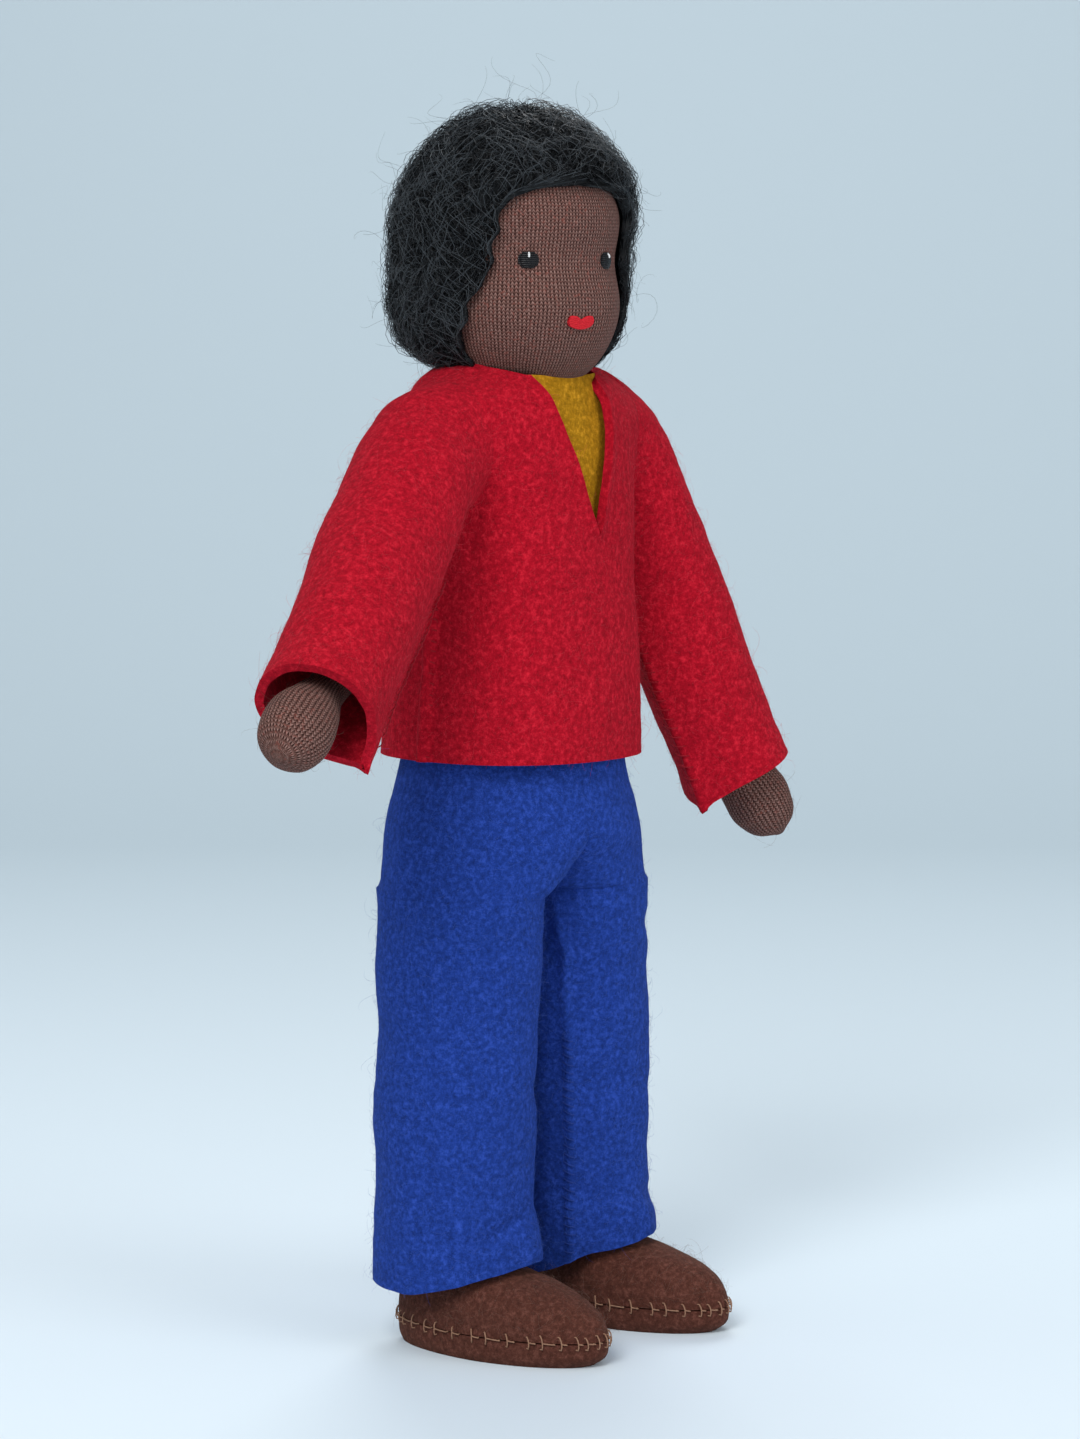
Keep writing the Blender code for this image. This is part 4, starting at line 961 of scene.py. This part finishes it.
# Hands
def build_hand(side_name, side):
    at = FRAMES[f"hand_{side_name}"]
    rows, columns = 60, 64
    shares = np.linspace(1.0, -0.28, rows)
    halves = spline(HAND_SHARES, shares)[:, 0] * np.where(shares < 0, 1.0, 1.0)
    angles = np.linspace(0, 2 * np.pi, columns, endpoint=False)
    x = np.cos(angles)[None] * halves[:, None] * HAND_HALF[0]
    y = np.sin(angles)[None] * halves[:, None] * HAND_HALF[1]
    z = np.broadcast_to(-shares[:, None] * HAND_LENGTH, x.shape)
    y = y - 0.5 * MM * (shares[:, None] ** 2)
    points = world(at, np.stack([x, y, z], axis=2))
    points += outward(points) * (0.14 * MM * lumps(points, 3 * MM, 41.0))[..., None]
    hand = grid_object(f"hand_knit_{side_name}", points, SKIN, cap_low=True, cap_high=True)
    wales(hand, np.broadcast_to(np.arange(columns)[None] * 44 / columns, x.shape), np.broadcast_to(-z / (0.42 * MM), x.shape))
    hairs = fibres(f"hand_{side_name}_fibres", points[2:], 260, BROWN_HAIRS, length=0.9 * MM, radius=0.01 * MM)
    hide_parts(f"hand_{side_name}_mitt")
    for obj in (hand, hairs):
        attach(obj, f"hand_{side_name}")


# Head
def head_points(turns, rises, grow=0.0):
    """The stuffed head: dipped along the eye line, full in the cheeks and heavy in the jaw."""
    turns, rises, grow = np.broadcast_arrays(turns, rises, grow)
    face = 0.5 + 0.5 * np.cos(turns)
    low = np.clip(-np.sin(rises), 0.0, 1.0)
    girth = np.where(low > 0, (1.0 - low**JAW_POWER) ** (1 / JAW_POWER), np.cos(rises))
    depth = (HEAD_HALF[2] + grow) * np.sin(rises) - CHIN_DROP * face * low**1.5
    sideways = np.remainder(turns + np.pi, 2 * np.pi) - np.pi
    cheeks = bump(np.abs(sideways), CHEEK_TURN, CHEEK_SPREAD) * bump(rises, CHEEK_RISE, CHEEK_SPREAD)
    form = 1.0 - EYE_LINE_DIP_SHARE * face * bump(rises, EYE_RISE, EYE_LINE_SPREAD) + CHEEK_SHARE * cheeks
    return np.stack(
        [
            (HEAD_HALF[0] * form + grow) * girth * np.sin(turns),
            -(HEAD_HALF[1] * form + grow) * girth * np.cos(turns) - HEAD_FORWARD,
            depth + HEAD_RISE,
        ],
        axis=-1,
    )


def build_head():
    at = FRAMES["head"]
    rows, columns = 96, 160
    rises = np.linspace(math.radians(-72), math.radians(88), rows)[:, None]
    turns = (np.pi + 2 * np.pi * np.arange(columns) / columns)[None]
    grid = head_points(turns, rises)
    points = world(at, grid)
    head = grid_object("head_knit", points, SKIN, cap_low=True, cap_high=True)
    around = np.broadcast_to(np.arange(columns)[None] * 160 / columns, (rows, columns))
    wales(head, around, np.broadcast_to(rises * HEAD_HALF[2] / (0.42 * MM), (rows, columns)))
    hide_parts("head_cover", "head_ball")
    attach(head, "head")
    build_neck(at)
    build_eyes(at)
    build_mouth(at)


def build_neck(at):
    rows, columns = 24, 48
    heights = np.linspace(-9 * MM, 3.0 * MM, rows)
    angles = np.linspace(0, 2 * np.pi, columns, endpoint=False)
    half = 5.6 * MM + 0.3 * MM * np.sin(heights / MM)
    grid = np.stack(
        [np.cos(angles)[None] * half[:, None], np.sin(angles)[None] * half[:, None], np.broadcast_to(heights[:, None], (rows, columns))],
        axis=2,
    )
    points = world(at, grid)
    neck = grid_object("neck_knit", points, SKIN, cap_low=True, cap_high=True)
    wales(neck, np.broadcast_to(np.arange(columns)[None] * 60 / columns, (rows, columns)), np.broadcast_to(heights[:, None] / (0.46 * MM), (rows, columns)))
    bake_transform(neck)


def on_face(turn, rise, lift):
    """A point of the face and a local frame there: across, up and out."""
    spot = head_points(np.array(turn), np.array(rise))
    across = unit(head_points(np.array(turn + 0.01), np.array(rise)) - spot)
    up = unit(head_points(np.array(turn), np.array(rise + 0.01)) - spot)
    out = unit(np.cross(across, up))
    return spot + out * lift, across, up, out


def build_eyes(at):
    for side_name, side in SIDES:
        spot, across, up, out = on_face(side * EYE_TURN + EYE_SHIFT, EYE_RISE, 0.0)
        paths, radius = [], 0.16 * MM
        lines = 8
        for index in range(lines):
            offset = (index - (lines - 1) / 2) * 0.235 * MM
            half = 1.16 * MM * math.sqrt(max(0.05, 1 - (offset / (1.02 * MM)) ** 2))
            arc = np.linspace(-1, 1, 11)[:, None]
            lift = (0.48 * (1 - (offset / (1.3 * MM)) ** 2) * (1 - arc**2) ** 0.6 - 0.05) * MM
            paths.append(spot + up * offset + across * arc * half + out * lift)
        eye = tubes(f"eye_stitches_{side_name}", world(at, np.array(paths)), radius, BLACK_THREAD, 6)
        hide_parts(f"eye_{side_name}")
        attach(eye, "head")
        # A short white tube over each eye is a painted highlight, standing for the glint on the glossy black eye.
        arc = np.linspace(-1, 1, 7)[:, None]
        glint = spot + up * (0.58 * MM + 0.24 * MM * arc) + across * 0.02 * MM + out * (0.52 - 0.10 * arc - 0.12 * arc**2) * MM
        shine = path_tube(f"eye_glint_{side_name}", world(at, glint), 0.13 * MM, EYE_GLINT_WHITE, 6)
        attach(shine, "head")


def build_mouth(at):
    paths = []
    strands = 6
    for index in range(strands):
        share_up = index / (strands - 1)
        reach = (1.25 + 0.75 * math.sin(math.pi * min(1.0, 0.25 + 0.5 * share_up))) * MM
        line = []
        for share in np.linspace(-1, 1, 17):
            spot, _, up, out = on_face(share * reach / HEAD_HALF[1], MOUTH_RISE, 0.0)
            notch = 0.32 * bump(share, 0.0, 0.30) * share_up**2
            height = -0.70 + 1.20 * share_up * (1 - 0.35 * share**4) + 0.42 * share**2 - notch
            line.append(spot + up * height * MM + out * (0.20 - 0.10 * share**2) * MM)
        paths.append(line)
    mouth = tubes("mouth_stitches", world(at, np.array(paths)), 0.19 * MM, RED_THREAD, 6)
    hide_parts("mouth")
    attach(mouth, "head")


# Hair
def hairline_turn(rises):
    """Where the hair begins beside the face: square over the forehead, drawn back over the cheeks."""
    share = np.clip((rises - HAIRLINE_BEND_RISE) / (HAIRLINE_TOP_RISE - HAIRLINE_BEND_RISE), 0, 1)
    back = HAIRLINE_FLARE * step(-rises, math.radians(-6), math.radians(40))
    ragged = math.radians(1.3) * (np.sin(17 * rises + 1.0) + np.sin(29 * rises))
    return (HAIRLINE_TURN + ragged) * (1 - share**3.2) ** (1 / 3.2) + back


def build_hair():
    at = FRAMES["head"]
    rows, columns = 90, 180
    rises = np.linspace(HAIR_HEM_RISE, math.radians(89), rows)[:, None]
    begin = hairline_turn(rises)
    turns = begin + (2 * np.pi - 2 * begin) * np.linspace(0, 1, columns)[None]
    spread = np.minimum(turns - begin, 2 * np.pi - begin - turns)
    rises = np.broadcast_to(rises, turns.shape)
    depth = 1.5 * MM * step(spread + 0.35 * step(rises, HAIRLINE_BEND_RISE, HAIRLINE_TOP_RISE + 0.5), 0.0, 0.26)
    depth = depth * step(rises, HAIR_HEM_RISE - 0.15, HAIR_HEM_RISE + 0.25) + 0.15 * MM
    grid = head_points(turns, rises, depth)
    points = world(at, grid)
    curls = 0.75 * MM * lumps(points, 4.6 * MM, 61.0) + 0.50 * MM * lumps(points, 2.0 * MM, 51.0)
    curls += 0.30 * MM * lumps(points, 0.9 * MM, 57.0)
    points += outward(points) * (curls * np.clip(depth / (1.2 * MM), 0, 1))[..., None]
    faces = grid_faces(rows, columns, wrap=False)
    cap = mesh_object("hair_cap", points.reshape(-1, 3), faces, HAIR_MAT)
    thicken(cap, 0.5 * MM)
    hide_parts("hair")
    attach(cap, "head")
    build_curls(at)


def strand_roots(count, near_edge=False):
    """Random places under the hair, as turns and rises, all over it or only beside the face."""
    tries = count * (12 if near_edge else 3)
    turns = RANDOM.uniform(0, 2 * np.pi, tries)
    heights = RANDOM.uniform(math.sin(HAIR_HEM_RISE), 1.0, tries)
    rises = np.arcsin(heights)
    begin = hairline_turn(rises)
    keep = (turns > begin) & (turns < 2 * np.pi - begin)
    if near_edge:
        lower = hairline_turn(rises - 0.22)
        keep &= (turns < np.maximum(begin + 0.25, lower)) | (turns > 2 * np.pi - np.maximum(begin + 0.25, lower))
    return turns[keep][:count], rises[keep][:count]


def curl_paths(at, count, points, reach, amplitude, lift, wavelength, near_edge=False):
    turns, rises = strand_roots(count, near_edge)
    count = len(turns)
    heading = RANDOM.normal(0, 0.9, count)
    phase = RANDOM.uniform(0, 2 * np.pi, (2, count))
    size = reach * RANDOM.uniform(0.6, 1.3, count)
    waves = amplitude * RANDOM.uniform(0.5, 1.4, (2, count))
    pitch = wavelength * RANDOM.uniform(0.75, 1.3, count)
    raised = lift * RANDOM.uniform(0.3, 1.0, count)
    paths = []
    for t in np.linspace(0, 1, points):
        along = size * t
        turn_way = np.sin(heading) * along / (HEAD_HALF[0] * np.maximum(np.cos(rises), 0.35))
        rise_way = -np.cos(heading) * along / HEAD_HALF[2]
        swing = 2 * np.pi * along / pitch
        turn = turns + turn_way + waves[0] * np.sin(swing + phase[0]) / (HEAD_HALF[0] * np.maximum(np.cos(rises), 0.35))
        rise = rises + rise_way + waves[1] * np.cos(swing + phase[1]) / HEAD_HALF[2]
        rise = np.clip(rise, HAIR_HEM_RISE - 0.06, math.radians(89))
        begin = hairline_turn(rise)
        turn = np.clip(turn, begin - 0.12, 2 * np.pi - begin + 0.12)
        depth = 1.0 * MM + raised + 0.8 * waves[0] * np.sin(swing + phase[1])
        edge = np.minimum(turn - begin, 2 * np.pi - begin - turn) + 0.35 * step(rise, HAIRLINE_BEND_RISE, HAIRLINE_TOP_RISE + 0.5)
        depth = depth * (0.55 + 0.45 * step(edge, 0.0, 0.30)) * (0.45 + 0.55 * step(rise, HAIR_HEM_RISE - 0.1, HAIR_HEM_RISE + 0.3))
        paths.append(head_points(turn, rise, depth))
    return world(at, np.stack(paths, axis=1))


def build_curls(at):
    layers = (
        ("hair_curls_a", 1500, 22, 8 * MM, 0.80 * MM, 0.5 * MM, 2.6 * MM, 0.080 * MM),
        ("hair_curls_b", 1500, 22, 6 * MM, 0.85 * MM, 1.0 * MM, 2.0 * MM, 0.060 * MM),
        ("hair_curls_c", 1500, 22, 5 * MM, 0.95 * MM, 1.5 * MM, 1.8 * MM, 0.048 * MM),
        ("hair_curls_d", 1500, 22, 5 * MM, 1.05 * MM, 1.9 * MM, 1.8 * MM, 0.034 * MM),
        ("hair_curls_face", 1500, 22, 3.5 * MM, 0.65 * MM, 0.9 * MM, 1.6 * MM, 0.055 * MM),
    )
    for name, count, points, reach, amplitude, lift, wavelength, radius in layers:
        paths = curl_paths(at, count, points, reach, amplitude, lift, wavelength, name.endswith("face"))
        thin = np.interp(np.linspace(0, 1, points), [0, 0.1, 0.85, 1], [0.6, 1, 1, 0.3])
        # The top layer d takes the lighter wisp colour, a painted highlight on the curls.
        curls = tubes(name, paths, radius * thin[None], WISPS_PAINTED_HIGHLIGHT if name.endswith("d") else MOHAIR)
        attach(curls, "head")
    build_wisps(at)


def build_wisps(at):
    """Loose hairs that stand off the curls, in a lighter grey that is painted highlight."""
    turns, rises = strand_roots(1100)
    count = len(turns)
    roots = head_points(turns, rises, 1.5 * MM)
    out = head_points(turns, rises, 2.5 * MM) - roots
    out /= np.linalg.norm(out, axis=1, keepdims=True)
    ways = RANDOM.normal(size=(count, 3))
    ways -= out * (ways * out).sum(1, keepdims=True)
    ways /= np.linalg.norm(ways, axis=1, keepdims=True)
    length = 3.6 * MM * RANDOM.gamma(2.2, 1 / 2.2, (count, 1))
    tall = np.clip(RANDOM.gamma(1.4, 0.26, (count, 1)), 0.05, 0.9)
    curl = RANDOM.uniform(0.5, 1.3, (count, 1)) * MM
    phase = RANDOM.uniform(0, 2 * np.pi, (count, 1))
    pace = RANDOM.uniform(3.0, 9.0, (count, 1))
    side_way = np.cross(out, ways)
    paths = []
    for t in np.linspace(0, 1, 16):
        lift = np.minimum(length * tall * (1.6 * t - 0.7 * t * t), 7.0 * MM)
        swing = np.sin(pace * t + phase) - np.sin(phase)
        sway = np.cos(pace * t + phase) - np.cos(phase)
        paths.append(roots + ways * (length * t * 0.6 + curl * sway) + out * (lift + 0.5 * curl * swing * t) + side_way * curl * swing)
    thin = np.interp(np.linspace(0, 1, 16), [0, 0.7, 1], [1, 0.8, 0.4])
    wisps = tubes("hair_wisps", world(at, np.stack(paths, axis=1)), 0.017 * MM * thin[None], WISPS_PAINTED_HIGHLIGHT)
    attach(wisps, "head")


# Hidden solids that still show through a cuff or a collar get a finish too
def build_thigh_wraps():
    """Wool on the thigh wires, thin at the hip so that the trousers clear it when a leg swings."""
    end, gap, half = 1.5 * MM, 3.2 * MM, 5.4 * MM
    turns = 2 * np.pi * np.arange(40) / 40
    for side_name, _ in SIDES:
        length, _ = leg_lengths(side_name)
        depths = np.linspace(length - gap, gap, 40)
        swell = step(depths, 12.5 * MM, 20.5 * MM) * step(length - depths, gap, 11 * MM)
        radii = end + (half - end) * swell[:, None] + 0.12 * MM * np.sin(depths / (0.25 * MM))[:, None]
        rings = [radii * np.cos(turns), radii * np.sin(turns), np.repeat(-depths[:, None], 40, axis=1)]
        grid = world(FRAMES[f"thigh_{side_name}"], np.stack(rings, axis=2))
        wrap = grid_object(f"thigh_wool_{side_name}", grid, WOOL, cap_low=True, cap_high=True)
        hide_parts(f"thigh_wrap_{side_name}")
        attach(wrap, f"thigh_{side_name}")


def finish_nodes():
    wire, tree, shader, vector = new_material("wire", 0.35)
    shader.inputs["Metallic"].default_value = 1.0
    scratch = noise_node(tree, scaled(tree, vector, (800, 800, 9000)), 1.0)
    tree.links.new(ramp_node(tree, scratch, [(0.3, (0.35, 0.35, 0.36)), (0.7, (0.6, 0.6, 0.61))]), shader.inputs["Base Color"])
    for name, node in frame["nodes"].items():
        if node.hide_render:
            continue
        look = wire if "wire" in name or "_bend_" in name else WOOL
        if "wrap" in name and ("arm" in name):
            look = SKIN_WRAP
        node.data.materials.clear()
        node.data.materials.append(look)


WOOL = felt_material("wound_wool", (0.60, 0.52, 0.40), 0.8, 1.2, (1.0, 0.95, 0.85))
SKIN_WRAP = thread_material("brown_yarn", (0.08, 0.04, 0.032), (0.17, 0.10, 0.085), 0.85)


# Floor, light and camera
def build_stage():
    profile = [(-1.2, 0.0)] + [(0.45 + 0.5 * math.sin(a), 0.5 - 0.5 * math.cos(a)) for a in np.linspace(0, math.pi / 2, 24)]
    profile.append((0.95, 3.0))
    back = np.array([-math.sin(math.radians(-46)), math.cos(math.radians(-46))])
    along = np.array([back[1], -back[0]])
    rows = []
    for reach, height in profile:
        rows.append([(*(back * reach + along * width), height) for width in (-3.0, 3.0)])
    points = np.array(rows)
    material, tree, shader, vector = new_material("stage_paper", 0.9)
    split = tree.nodes.new("ShaderNodeSeparateXYZ")
    tree.links.new(vector, split.inputs["Vector"])
    far = math_node(tree, "ADD", math_node(tree, "MULTIPLY", split.outputs["X"], float(back[0])), math_node(tree, "MULTIPLY", split.outputs["Y"], float(back[1])))
    # The paper turns darker with distance back towards the backdrop: painted shade where less light reaches it.
    shade = ramp_node(tree, math_node(tree, "MULTIPLY", far, 1.0), [(0.08, (0.70, 0.785, 0.845)), (0.42, (0.45, 0.53, 0.58))])
    tree.links.new(shade, shader.inputs["Base Color"])
    floor = grid_object("stage", points, material, wrap=False)


def area_light(name, position, target, size, power, colour=(1, 1, 1)):
    data = bpy.data.lights.new(name, "AREA")
    data.shape = "DISK"
    data.size = size
    data.energy = power
    data.color = colour
    light = bpy.data.objects.new(name, data)
    bpy.context.scene.collection.objects.link(light)
    light.location = position
    light.rotation_euler = (Vector(target) - Vector(position)).to_track_quat("-Z", "Y").to_euler()


def build_light():
    scene = bpy.context.scene
    scene.view_settings.view_transform = "Standard"
    scene.world = bpy.data.worlds.new("studio")
    scene.world.use_nodes = True
    ground = scene.world.node_tree.nodes["Background"]
    ground.inputs["Color"].default_value = (0.90, 0.96, 1.0, 1)
    ground.inputs["Strength"].default_value = 0.55
    middle = (0, 0, 0.08)
    area_light("key", (-0.75, -0.35, 0.75), middle, 0.5, 7.0)
    area_light("fill", (0.15, -0.95, 0.45), middle, 0.7, 3.2)
    area_light("rim", (0.55, 0.45, 0.8), middle, 0.5, 3.5)


def build_camera():
    azimuth, elevation, distance = math.radians(-46), math.radians(7), 0.6
    data = bpy.data.cameras.new("camera")
    camera = bpy.data.objects.new("camera", data)
    bpy.context.scene.collection.objects.link(camera)
    back = Vector(
        (
            math.sin(azimuth) * math.cos(elevation),
            -math.cos(azimuth) * math.cos(elevation),
            math.sin(elevation),
        )
    )
    target = Vector((0, 0, 0.075))
    camera.location = target + back * distance
    camera.rotation_euler = back.to_track_quat("Z", "Y").to_euler()
    pixels_per_metre = 8450.0
    data.sensor_fit = "VERTICAL"
    data.sensor_height = 24.0
    data.lens = 24.0 * pixels_per_metre * distance / 1439
    data.shift_x = (540 - 482) / 1439
    data.shift_y = (731 - 719.5) / 1439
    data.clip_start = 0.01
    bpy.context.scene.camera = camera


build_camera()
build_light()
build_stage()
build_pullover()
build_undershirt()
build_seat()
for side_name, side in SIDES:
    build_sleeve(side_name, side)
    build_leg(side_name, side)
    build_shoe(side_name, side)
    build_hand(side_name, side)
build_head()
build_hair()
build_thigh_wraps()
finish_nodes()
